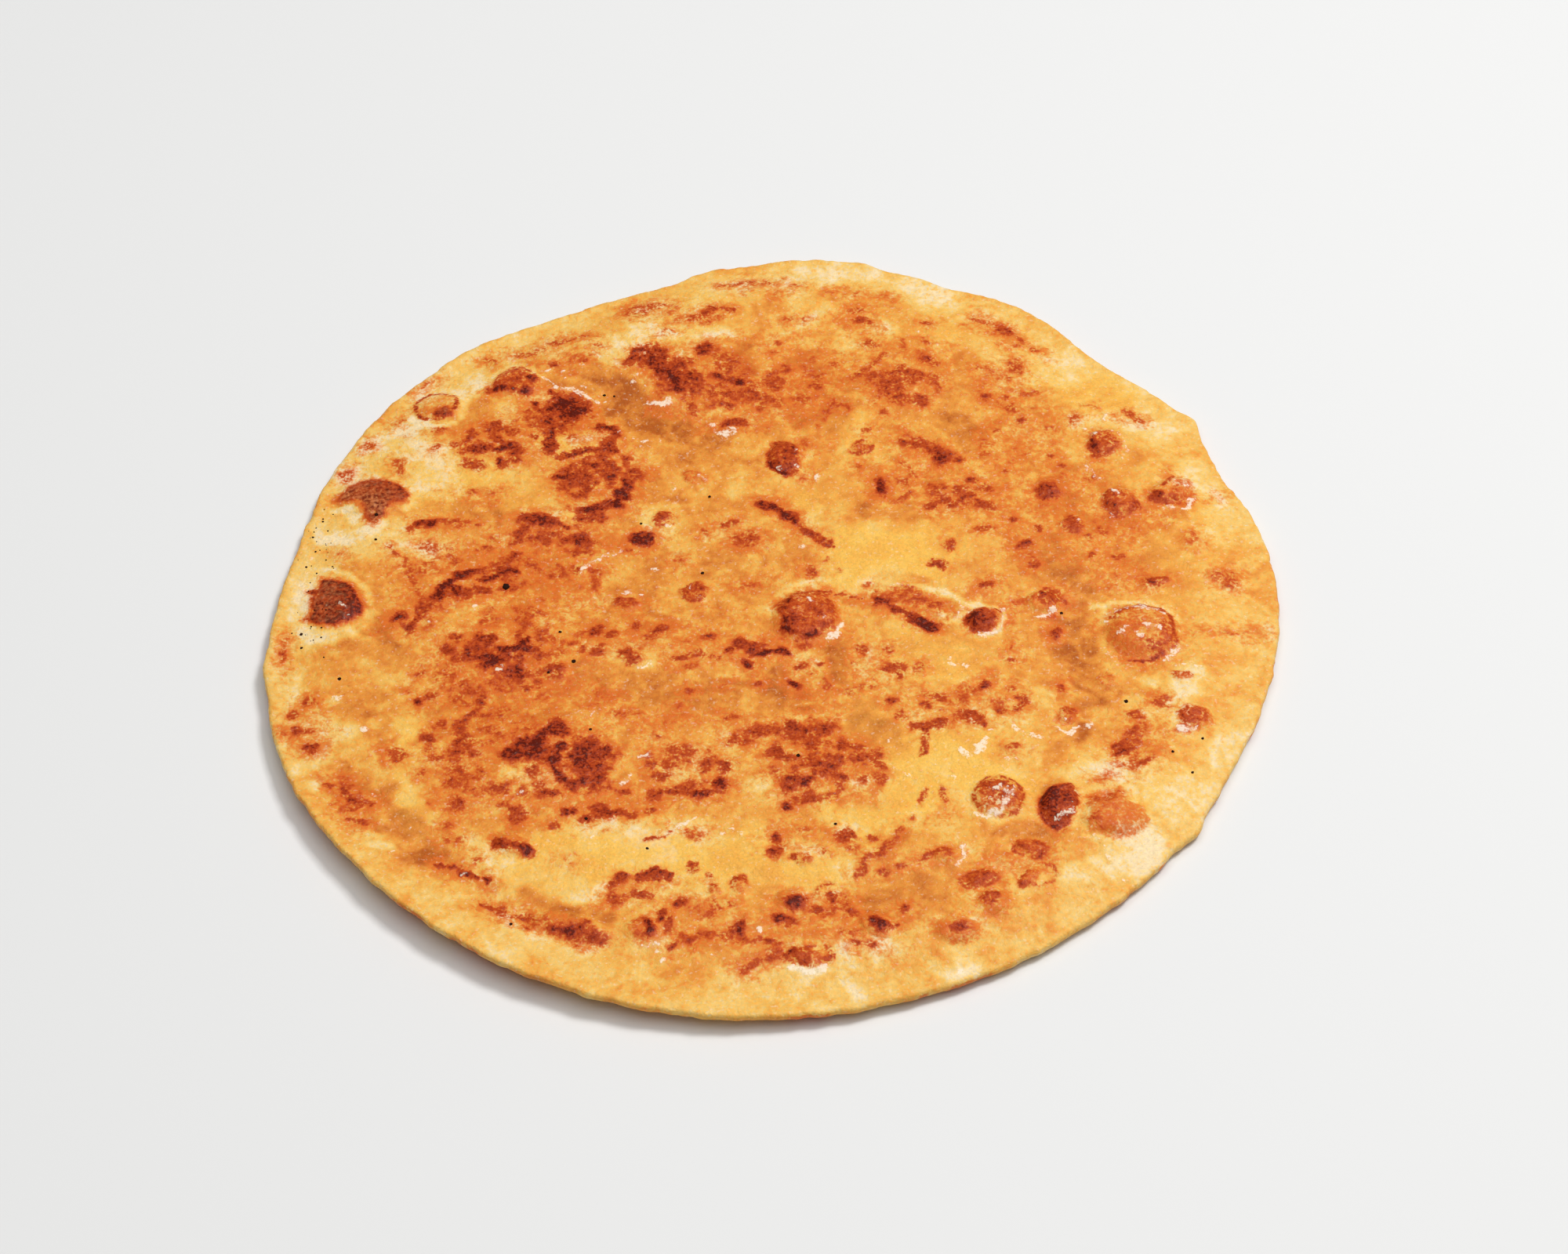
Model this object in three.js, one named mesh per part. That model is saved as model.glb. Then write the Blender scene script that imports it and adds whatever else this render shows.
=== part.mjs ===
// Puran poli: one hand-rolled flatbread, a thin wheat skin over a sweet filling, toasted on a griddle.
// Millimetres. +Z is up, the flat middle of the underside lies on z = 0, the origin is under the
// middle of the bread's own box, and the near margin, which curls up a little, points to -Y.
import * as THREE from 'three';

// ---- driving dimensions ----------------------------------------------------------------------
const MEAN_RADIUS = 95.0;      // half of the mean diameter, 190 mm
const CENTRE_X = -0.64;        // middle of the rolled circle, a little off the middle of the box
const CENTRE_Y = -0.77;
const EDGE_THICK = 1.9;        // bare skin at the very edge
const BODY_THICK = 4.1;        // skin, filling, skin
const FILL_START = 0.985;      // share of the radius where the filling starts to thicken the bread
const FILL_FULL = 0.84;        // share of the radius where it reaches its full thickness
const RELIEF_MARGIN = 0.06;    // share of the radius over which the relief dies out at the edge
const LIFT_START = 79;         // radius inside which the underside is flat
const SOFT_LIFT = 0.7;         // how far the whole edge stands clear of the floor
const CURL_LIFT = 3.6;         // how far the near left margin curls up
const CURL_AT = 229;           // degrees round from +X, middle of the curl
const CURL_WIDE = 44;          // degrees
const CURL_OUT = 2.4;          // how much further out the curled margin reaches
const CURL_POWER = 1.6;        // how late in the margin the curl steepens

// ---- fineness of the mesh ----------------------------------------------------------------------
const RING_STEP = 6;           // ring k holds 6k points, so all the faces are of about one size
const TOP_RINGS = 36;
const UNDER_RINGS = [34, 31, 27, 22, 16, 10, 5];   // coarser rings under the bread
const EDGE_STEPS = 4;          // facets round the edge
const EDGE_SHARE = 0.9945;     // share of the radius where the edge starts to round over

// ---- outline: a circle with soft harmonics, then swells, dips and small tears of the edge -----
const ROUND_COS = [-0.23, 0.15];          // first and second harmonic
const ROUND_SIN = [0.15, 0.74];
// where (degrees), half width (degrees), how far out (mm)
const EDGE_FEATURES = [
  [0.3, 16.1, 2.08],      // long swell on the right
  [20.1, 4.7, -1.36],     // dip before the nick
  [29.2, 2.4, 1.85],      // lip of the nick
  [43.7, 7.3, -2.82],     // flattened stretch, far right
  [58.2, 4.0, 0.4],
  [66.4, 2.6, -0.65],
  [78.0, 1.6, 0.7],
  [85.3, 9.6, 3.05],      // swell at the far edge
  [97.5, 3.9, 1.81],
  [108.8, 25.4, -3.68],   // long flat stretch, far left
  [130.7, 6.0, 1.54],
  [143.3, 5.2, 0.95],
  [169.4, 9.8, -1.43],
  [187.8, 3.3, 0.73],
  [203.4, 13.1, 1.42],    // swell on the near left
  [262, 16, 0.5],
  [323.9, 1.9, 1.04],     // small tag on the near right
  [335.1, 3.5, -0.57],
];

// ---- relief of the top -----------------------------------------------------------------------
// blisters: x, y, half length, half width, turn (degrees), height
const BLISTERS = [
  [69.4, -9.8, 6.6, 6.0, -20, 1.4],     // the widest one
  [5.6, -5.0, 6.0, 5.7, 0, 1.4],
  [2.5, 37.3, 3.2, 3.7, 0, 0.9],
  [39.6, -6.4, 3.4, 2.8, 20, 1.0],
  [51.0, -2.2, 3.1, 2.6, 0, 0.8],
  [40.0, -49.4, 4.8, 4.3, 0, 1.2],
  [51.2, -50.8, 3.3, 4.7, -15, 1.1],
  [61.0, -54.4, 5.8, 3.8, 5, 1.1],
  [66.0, 39.8, 3.5, 3.1, 0, 0.8],
  [67.8, 23.6, 3.7, 3.2, -30, 0.9],
  [78.4, 26.6, 4.9, 2.8, 25, 0.9],
  [54.0, 27.8, 2.5, 2.5, 0, 0.7],
  [77.5, -30.8, 3.3, 2.7, 0, 0.7],
  [-67.0, 53.4, 4.9, 3.9, 0, 0.8],
  [-79.0, 28.6, 7.2, 4.8, -15, 0.7],
  [-85.1, 1.0, 5.6, 6.0, 0, 0.7],
  [-51.6, 59.4, 4.9, 3.8, 0, 0.7],
  [-48.4, -58.6, 3.6, 2.2, -25, 0.7],
  [-37.5, -77.0, 7.6, 2.6, -15, 0.8],
  [1.8, -71.6, 2.9, 2.2, 0, 0.7],
  [16.9, -77.6, 2.8, 2.3, 0, 0.7],
  [31.2, -79.0, 4.0, 2.6, 0, 0.7],
  [38.0, -73.2, 3.0, 2.4, 0, 0.6],
  [-25.0, -77.6, 3.2, 2.4, 0, 0.6],
];
const BLISTER_FOOT = 1.45;     // squared reach of a blister's foot, in its own half sizes
const BLISTER_WALL = 1.2;      // how much of that is its sloping wall
// pads where the skin puffs over the filling, and hollows between them:
// x, y, half length, half width, turn (degrees), height (below zero for a hollow)
const SWELLS = [
  [-50, 42, 15, 8, -5, 0.45],
  [-34, 33, 8, 11, 0, 0.4],
  [-54, -13, 15, 8, 0, 0.45],
  [-43, -38, 19, 10, -8, 0.5],
  [6, -41, 17, 8, 0, 0.45],
  [-18, 62, 14, 10, -10, 0.4],
  [29, 60, 13, 9, 10, 0.35],
  [36, 30, 16, 10, 10, 0.35],
  [-50, 22, 20, 5, 12, 0.35],
  [-10, 84, 22, 5, 4, 0.3],
  [26, 14, 19, 9, -10, 0.4],
  [24, -60, 17, 7, 15, 0.4],
  [42, -38, 17, 8, -20, 0.4],
  [-25, -57, 18, 6, 8, 0.4],
  [-29, 51, 15, 6, -22, -0.6],
  [-72, -18, 12, 9, 20, -0.5],
  [57, -8, 6, 12, 0, -0.5],
  [11, -69, 13, 5, 6, -0.5],
  [-18, 4, 17, 11, 0, -0.4],
  [-22, -20, 20, 7, 0, -0.3],
  [8, 62, 9, 11, 0, -0.35],
  [60, -36, 7, 6, -30, -0.45],
  [45, -63, 8, 6, 30, -0.4],
  [-62, 13, 12, 6, 30, -0.3],
];
const VALLEY_RADIUS = 86.5;    // bend where the curled margin leaves the flat middle
const VALLEY_AT = 238;         // degrees
const VALLEY_WIDE = 27;        // degrees
const VALLEY_HALF = 3.4;       // half width of the bend
const VALLEY_DEEP = 0.7;
const ROLL_WAVES = [           // long waves left by the rolling pin: x rate, y rate, phase, height
  [0.061, 0.023, 0.4, 0.16],
  [-0.031, 0.083, 1.9, 0.14],
  [0.108, -0.071, 3.0, 0.09],
  [0.049, 0.137, 5.1, 0.07],
];

// ---- helpers -----------------------------------------------------------------------------------
const degrees = THREE.MathUtils.radToDeg;
const radians = THREE.MathUtils.degToRad;
const clamp01 = (v) => THREE.MathUtils.clamp(v, 0, 1);
const smooth = (v) => THREE.MathUtils.smoothstep(v, 0, 1);
const bell = (distance) => Math.exp(-distance * distance);

// signed degrees from one direction to another
function turnFrom(angle, reference) {
  return ((angle - reference + 540) % 360) - 180;
}

// a point of the bread in polar form round the middle of the rolled circle
function polar(x, y) {
  const dx = x - CENTRE_X;
  const dy = y - CENTRE_Y;
  const angle = Math.atan2(dy, dx);
  return { r: Math.hypot(dx, dy), angle, heading: degrees(angle) };
}

// ---- shape of the bread --------------------------------------------------------------------------
function curl(heading) {
  return bell(turnFrom(heading, CURL_AT) / CURL_WIDE);
}

function outline(angle) {
  const heading = degrees(angle);
  let r = MEAN_RADIUS + CURL_OUT * curl(heading);
  for (const [i, cosine] of ROUND_COS.entries()) {
    r += cosine * Math.cos((i + 1) * angle) + ROUND_SIN[i] * Math.sin((i + 1) * angle);
  }
  for (const [at, wide, out] of EDGE_FEATURES) {
    r += out * bell(turnFrom(heading, at) / wide);
  }
  return r;
}

// height of the underside above the floor
function lift(x, y) {
  const { r, angle, heading } = polar(x, y);
  const t = clamp01((r - LIFT_START) / (outline(angle) - LIFT_START));
  return SOFT_LIFT * smooth(t) + CURL_LIFT * curl(heading) * t ** CURL_POWER;
}

// squared distance from the middle of an oval feature, in its own half sizes
function ovalDistance(x, y, [cx, cy, halfLength, halfWidth, turn]) {
  const c = Math.cos(radians(turn));
  const s = Math.sin(radians(turn));
  const along = ((x - cx) * c + (y - cy) * s) / halfLength;
  const across = ((y - cy) * c - (x - cx) * s) / halfWidth;
  return along * along + across * across;
}

function relief(x, y) {
  let z = 0;
  for (const blister of BLISTERS) {
    z += blister[5] * smooth((BLISTER_FOOT - ovalDistance(x, y, blister)) / BLISTER_WALL);
  }
  for (const swell of SWELLS) {
    z += swell[5] * Math.exp(-ovalDistance(x, y, swell));
  }
  for (const [kx, ky, phase, height] of ROLL_WAVES) {
    z += height * Math.sin(kx * x + ky * y + phase);
  }
  return z;
}

function valley(x, y) {
  const { r, heading } = polar(x, y);
  const along = turnFrom(heading, VALLEY_AT) / VALLEY_WIDE;
  const across = (r - VALLEY_RADIUS) / VALLEY_HALF;
  return VALLEY_DEEP * bell(along) * bell(across);
}

function thickness(x, y, share) {
  const filled = smooth((FILL_START - share) / (FILL_START - FILL_FULL));
  const bare = EDGE_THICK + (BODY_THICK - EDGE_THICK) * filled;
  return bare + smooth((1 - share) / RELIEF_MARGIN) * relief(x, y) - valley(x, y);
}

function topHeight(x, y, share) {
  return lift(x, y) + thickness(x, y, share);
}

// ---- mesh: rings of points from the crown out, round the edge and back in underneath ------------
const points = [];
const faces = [];

function addPoint(x, y, z) {
  points.push(x, y, z);
  return points.length / 3 - 1;
}

// one ring of the bread, at a share of its radius; inner rings are rounder than the outline
function addRing(count, share, heightAt) {
  const ids = [];
  for (let j = 0; j < count; j += 1) {
    const angle = 2 * Math.PI * j / count;
    const r = share * (MEAN_RADIUS + (outline(angle) - MEAN_RADIUS) * share ** 3);
    const x = CENTRE_X + r * Math.cos(angle);
    const y = CENTRE_Y + r * Math.sin(angle);
    ids.push(addPoint(x, y, heightAt(x, y, share)));
  }
  return ids;
}

// the faces between two rings, each step taken on the ring that lags behind
function addBand(first, second) {
  let i = 0;
  let j = 0;
  while (i < first.length || j < second.length) {
    const a = first[i % first.length];
    const b = second[j % second.length];
    if (j === second.length || (i < first.length && (i + 0.5) / first.length <= (j + 0.5) / second.length)) {
      i += 1;
      faces.push(a, first[i % first.length], b);
    } else {
      j += 1;
      faces.push(a, second[j % second.length], b);
    }
  }
}

// a fan from one point to a ring
function addFan(tip, ring, up) {
  for (const [j, a] of ring.entries()) {
    const b = ring[(j + 1) % ring.length];
    faces.push(tip, up ? a : b, up ? b : a);
  }
}

function breadGeometry() {
  const crown = addPoint(CENTRE_X, CENTRE_Y, topHeight(CENTRE_X, CENTRE_Y, 0));
  let last = addRing(RING_STEP, 1 / TOP_RINGS, topHeight);
  addFan(crown, last, true);
  const grow = (ring) => {
    addBand(ring, last);
    last = ring;
  };
  for (let k = 2; k <= TOP_RINGS; k += 1) {
    grow(addRing(RING_STEP * k, Math.min(k / TOP_RINGS, EDGE_SHARE), topHeight));
  }
  for (let step = 1; step <= EDGE_STEPS; step += 1) {
    const a = Math.PI * step / EDGE_STEPS;
    const share = EDGE_SHARE + (1 - EDGE_SHARE) * Math.sin(a);
    const edgeHeight = (x, y) => lift(x, y) + EDGE_THICK * (1 + Math.cos(a)) / 2;
    grow(addRing(RING_STEP * TOP_RINGS, share, edgeHeight));
  }
  for (const k of UNDER_RINGS) {
    grow(addRing(RING_STEP * k, k / TOP_RINGS, lift));
  }
  addFan(addPoint(CENTRE_X, CENTRE_Y, 0), last, false);

  const geometry = new THREE.BufferGeometry();
  geometry.setAttribute('position', new THREE.Float32BufferAttribute(points, 3));
  geometry.setIndex(faces);
  geometry.computeBoundingBox();
  const middle = geometry.boundingBox.getCenter(new THREE.Vector3());
  geometry.translate(-middle.x, -middle.y, 0);
  geometry.computeVertexNormals();
  return geometry;
}

const crust = new THREE.MeshStandardMaterial({ color: 0xe0a04a, roughness: 0.6, metalness: 0 });
const bread = new THREE.Mesh(breadGeometry(), crust);
bread.name = 'puran_poli';

const group = new THREE.Group();
group.add(bread);
export default group;
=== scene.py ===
# %% [markdown]
# # Puran poli: a flatbread, toasted on a griddle
# A puran poli is a thin wheat skin rolled out over a sweet filling. It is one soft disc, 190 mm
# across and about 4 mm thick. What makes it look real is its skin: brown toast marks, puffed
# blisters, pale untoasted dough and a little ghee. So this lesson makes one dense mesh of the whole
# bread, works out the toasting on it mark by mark, and lets one material turn that into colour.

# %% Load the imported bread
import math

import bpy
import numpy as np
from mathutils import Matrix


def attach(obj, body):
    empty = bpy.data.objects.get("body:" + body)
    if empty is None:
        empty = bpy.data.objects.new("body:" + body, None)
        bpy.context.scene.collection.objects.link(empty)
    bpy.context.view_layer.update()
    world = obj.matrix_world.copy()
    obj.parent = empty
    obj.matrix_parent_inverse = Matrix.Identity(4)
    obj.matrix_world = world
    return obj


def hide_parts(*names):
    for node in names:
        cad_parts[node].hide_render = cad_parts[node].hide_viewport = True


MM = 0.001
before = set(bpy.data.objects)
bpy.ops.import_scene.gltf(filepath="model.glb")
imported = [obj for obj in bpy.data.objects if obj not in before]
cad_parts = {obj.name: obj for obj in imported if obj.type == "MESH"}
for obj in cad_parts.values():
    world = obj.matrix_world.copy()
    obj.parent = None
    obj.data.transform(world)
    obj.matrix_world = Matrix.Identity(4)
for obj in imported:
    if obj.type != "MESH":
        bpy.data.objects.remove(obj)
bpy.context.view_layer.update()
print("packed nodes:", list(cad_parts))

# %% [markdown]
# ## The form of the bread
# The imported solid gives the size, the outline, the fill and the curled margin. The mesh below
# follows the same numbers, so that what is seen lies where the solid is. The outline is a circle
# with soft swells and small tears, and each row says where it is, how wide, and how far out it goes.

# %% Sizes of the bread, in millimetres and degrees, and in shares of the radius
MEAN_RADIUS = 95.0
CENTRE_X = -0.64
CENTRE_Y = -0.77
EDGE_THICK = 1.9
BODY_THICK = 4.1
FILL_START = 0.985               # share of the radius where the filling ends
FILL_FULL = 0.84                 # share up to which it is full thickness
RELIEF_MARGIN = 0.06             # share over which pads and hollows fade out
LIFT_START = 79.0                # from here outwards the margin rises a little
SOFT_LIFT = 0.7
CURL_LIFT = 3.6
CURL_AT = 229.0                  # heading of the curled margin
CURL_WIDE = 44.0
CURL_OUT = 2.4
CURL_POWER = 1.6
EDGE_SHARE = 0.9945              # share where the rounded edge starts
ROUND_COS = [-0.23, 0.15]        # slow swells of the outline, once and twice round it
ROUND_SIN = [0.15, 0.74]
EDGE_FEATURES = [
    (0.3, 16.1, 2.08), (20.1, 4.7, -1.36), (29.2, 2.4, 1.85), (43.7, 7.3, -2.82), (58.2, 4.0, 0.4),
    (66.4, 2.6, -0.65), (78.0, 1.6, 0.7), (85.3, 9.6, 3.05), (97.5, 3.9, 1.81), (108.8, 25.4, -3.68),
    (130.7, 6.0, 1.54), (143.3, 5.2, 0.95), (169.4, 9.8, -1.43), (187.8, 3.3, 0.73),
    (203.4, 13.1, 1.42), (262.0, 16.0, 0.5), (323.9, 1.9, 1.04), (335.1, 3.5, -0.57),
]

# %% Helpers for smooth shapes
def smooth(v):
    """A soft step: 0 up to 0, 1 from 1 on, and an S between them."""
    v = np.clip(v, 0.0, 1.0)
    return v * v * (3.0 - 2.0 * v)


def bell(distance):
    """1 in the middle, falling off softly on both sides."""
    return np.exp(-distance * distance)


def turn_from(heading, reference):
    """The turn from one heading to another, from -180 to 180 degrees."""
    return (heading - reference + 540.0) % 360.0 - 180.0


def curl(heading):
    """How much of the curl a heading gets, from 0 to 1."""
    return bell(turn_from(heading, CURL_AT) / CURL_WIDE)


def outline(angle):
    """The bread's radius in millimetres, at an angle in radians."""
    heading = np.degrees(angle)
    r = MEAN_RADIUS + CURL_OUT * curl(heading)
    for i, (cosine, sine) in enumerate(zip(ROUND_COS, ROUND_SIN)):
        r = r + cosine * np.cos((i + 1) * angle) + sine * np.sin((i + 1) * angle)
    for at, wide, out in EDGE_FEATURES:
        r = r + out * bell(turn_from(heading, at) / wide)
    return r


# %% Middle of the bread's own box
RIM_POINTS = 216
rim_angle = 2.0 * np.pi * np.arange(RIM_POINTS) / RIM_POINTS
rim_x = CENTRE_X + outline(rim_angle) * np.cos(rim_angle)
rim_y = CENTRE_Y + outline(rim_angle) * np.sin(rim_angle)
MIDDLE_X = (rim_x.min() + rim_x.max()) / 2.0
MIDDLE_Y = (rim_y.min() + rim_y.max()) / 2.0
print("middle of the outline, mm:", round(MIDDLE_X, 2), round(MIDDLE_Y, 2))

# %% [markdown]
# ## Random that repeats
# Dough is never even. Smooth random hills of a chosen size, always from the same seed, bend the toast
# marks out of shape, roughen their edges and crumple the skin.

# %% Smooth random hills
LATTICE = 256


def hills(x, y, size, seed):
    """Random heights from 0 to 1 that change smoothly over about size millimetres."""
    table = np.random.default_rng(seed).random((LATTICE, LATTICE))
    u = x / size + LATTICE / 2 + 0.37
    v = y / size + LATTICE / 2 + 0.71
    i = np.floor(u).astype(int)
    j = np.floor(v).astype(int)
    fu = smooth(u - i)
    fv = smooth(v - j)
    i0, i1 = i % LATTICE, (i + 1) % LATTICE
    j0, j1 = j % LATTICE, (j + 1) % LATTICE
    low = table[i0, j0] * (1 - fu) + table[i1, j0] * fu
    high = table[i0, j1] * (1 - fu) + table[i1, j1] * fu
    return low * (1 - fv) + high * fv


def rough_hills(x, y, size, seed):
    """Hills with two finer layers on them, still from 0 to 1."""
    total = 0.57 * hills(x, y, size, seed)
    total = total + 0.28 * hills(x, y, size * 0.47, seed + 1)
    return total + 0.15 * hills(x, y, size * 0.22, seed + 2)


def swing(x, y, size, seed):
    """Hills from -1 to 1, to push a point one way or the other."""
    return 2 * hills(x, y, size, seed) - 1


# %% [markdown]
# ## Rolling out the mesh
# A disc could be made of rings, but their faces get thin near the middle. A square grid folded into a
# round keeps all its faces about the same size, which is what even detail needs. The square's rim is
# extruded for the rounded edge, and a coarser grid under it closes the bread. Everything is still a
# flat square at this stage, as a piece of dough is before it is rolled. Folding it squeezes the squares
# near its diagonals, so they are cut into triangles only once the bread has its form.

# %% A square of dough with its edge bands and its underside
TOP_CELLS = 288
UNDER_CELLS = 96
EDGE_STEPS = 4
BAND = 0.01                      # width of an edge band on the flat square
UNDER_GAP = 0.015                # the underside's grid stops this share short of the edge bands
bpy.ops.object.select_all(action="DESELECT")
bpy.ops.mesh.primitive_grid_add(x_subdivisions=TOP_CELLS, y_subdivisions=TOP_CELLS, size=2.0)
bread = bpy.context.object
bread.name = "bread"
bread.data.name = "bread"
bpy.ops.object.mode_set(mode="EDIT")
bpy.ops.mesh.select_mode(type="EDGE")
bpy.ops.mesh.select_all(action="DESELECT")
bpy.ops.mesh.select_non_manifold()
for step in range(1, EDGE_STEPS + 1):
    bpy.ops.mesh.extrude_edges_move()
    grow = (1.0 + BAND * step) / (1.0 + BAND * (step - 1))
    bpy.ops.transform.resize(value=(grow, grow, 1.0))
under_size = 2.0 * (1.0 + BAND * EDGE_STEPS)
bpy.ops.mesh.select_all(action="DESELECT")
bpy.ops.mesh.primitive_grid_add(
    x_subdivisions=UNDER_CELLS, y_subdivisions=UNDER_CELLS, size=under_size, location=(0, 0, -1))
bpy.ops.mesh.flip_normals()
bpy.ops.mesh.select_all(action="DESELECT")
bpy.ops.mesh.select_non_manifold()
bpy.ops.mesh.bridge_edge_loops()
bpy.ops.object.mode_set(mode="OBJECT")
print("bread:", len(bread.data.vertices), "points,", len(bread.data.polygons), "faces")

# %% Fold the square into a round
flat = np.empty(len(bread.data.vertices) * 3)
bread.data.vertices.foreach_get("co", flat)
flat = flat.reshape(-1, 3)
u, v = flat[:, 0], flat[:, 1]
under = flat[:, 2] < -0.5
reach = np.maximum(np.abs(u), np.abs(v))
wide = np.abs(u) >= np.abs(v)
safe_u = np.where(np.abs(u) < 1e-9, 1e-9, u)
safe_v = np.where(np.abs(v) < 1e-9, 1e-9, v)
fold_wide = np.pi / 4 * v / safe_u + np.where(u < 0, np.pi, 0.0)
fold_tall = np.pi / 2 - np.pi / 4 * u / safe_v + np.where(v < 0, np.pi, 0.0)
angle = np.where(wide, fold_wide, fold_tall)
band = np.clip((reach - 1.0) / BAND, 0.0, EDGE_STEPS)
on_edge = (reach > 1.0 + BAND / 2) & ~under
bend = np.pi * band / EDGE_STEPS
under_share = (EDGE_SHARE - UNDER_GAP) * reach / (1.0 + BAND * EDGE_STEPS)
share = np.where(under, under_share, EDGE_SHARE * reach)
share = np.where(on_edge, EDGE_SHARE + (1.0 - EDGE_SHARE) * np.sin(bend), share)
radius = share * (MEAN_RADIUS + (outline(angle) - MEAN_RADIUS) * share ** 3)
X = CENTRE_X + radius * np.cos(angle)
Y = CENTRE_Y + radius * np.sin(angle)
on_top = ~under & ~on_edge
print("top", on_top.sum(), "edge", on_edge.sum(), "underside", under.sum())

# %% [markdown]
# ## Where the griddle touched it
# The skin browns only where it lies on the hot iron, so the toast marks are small ovals, thin streaks
# and ragged clouds. Each one is placed in millimetres from the middle of the bread, with a
# tone from 0, raw dough, to 1, nearly burnt. A bend in the coordinates, made of random hills, keeps
# every oval from being a clean oval. Two fields grow together: toast is the dark of the marks, and
# blush is the thin orange browning that spreads round them and ties them together.

# %% Bent coordinates and the tools that lay down a mark
BEND_WIDE, BEND_FAR = 3.4, 0.9   # size of the wide hills and how far they push, in millimetres
BEND_FINE, BEND_NEAR = 1.3, 0.4
bent_x = X + BEND_FAR * swing(X, Y, BEND_WIDE, 11) + BEND_NEAR * swing(X, Y, BEND_FINE, 12)
bent_y = Y + BEND_FAR * swing(X, Y, BEND_WIDE, 13) + BEND_NEAR * swing(X, Y, BEND_FINE, 14)


def oval(px, py, x, y, half_long, half_wide, turn=0.0):
    """Distance from the middle of an oval, 1 on its edge."""
    c = math.cos(math.radians(turn))
    s = math.sin(math.radians(turn))
    along = ((px - x) * c + (py - y) * s) / half_long
    across = ((py - y) * c - (px - x) * s) / half_wide
    return np.sqrt(along * along + across * across)


def stroke(px, py, path):
    """Distance in millimetres from a line of points."""
    best = np.full(len(px), 1e9)
    for (ax, ay), (bx, by) in zip(path[:-1], path[1:]):
        long_x, long_y = bx - ax, by - ay
        t = ((px - ax) * long_x + (py - ay) * long_y) / (long_x ** 2 + long_y ** 2)
        t = np.clip(t, 0.0, 1.0)
        best = np.minimum(best, np.hypot(px - ax - t * long_x, py - ay - t * long_y))
    return best


def add_tone(field, mark):
    """The deeper of two toastings, and a little deeper still where both are."""
    return np.clip(np.maximum(field, mark) + 0.12 * np.minimum(field, mark), 0.0, 1.0)


toast = np.zeros(len(X))
blush = np.zeros(len(X))

# %% [markdown]
# ### Clouds and washes
# Where the filling pushes the skin flat on the iron, whole patches brown in a ragged, spotty way.
# A cloud is an oval with soft edges, and random hills about 4 and 2 mm wide decide where it browns.
# A wash is smoother: the even tan under and around the clouds.

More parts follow.
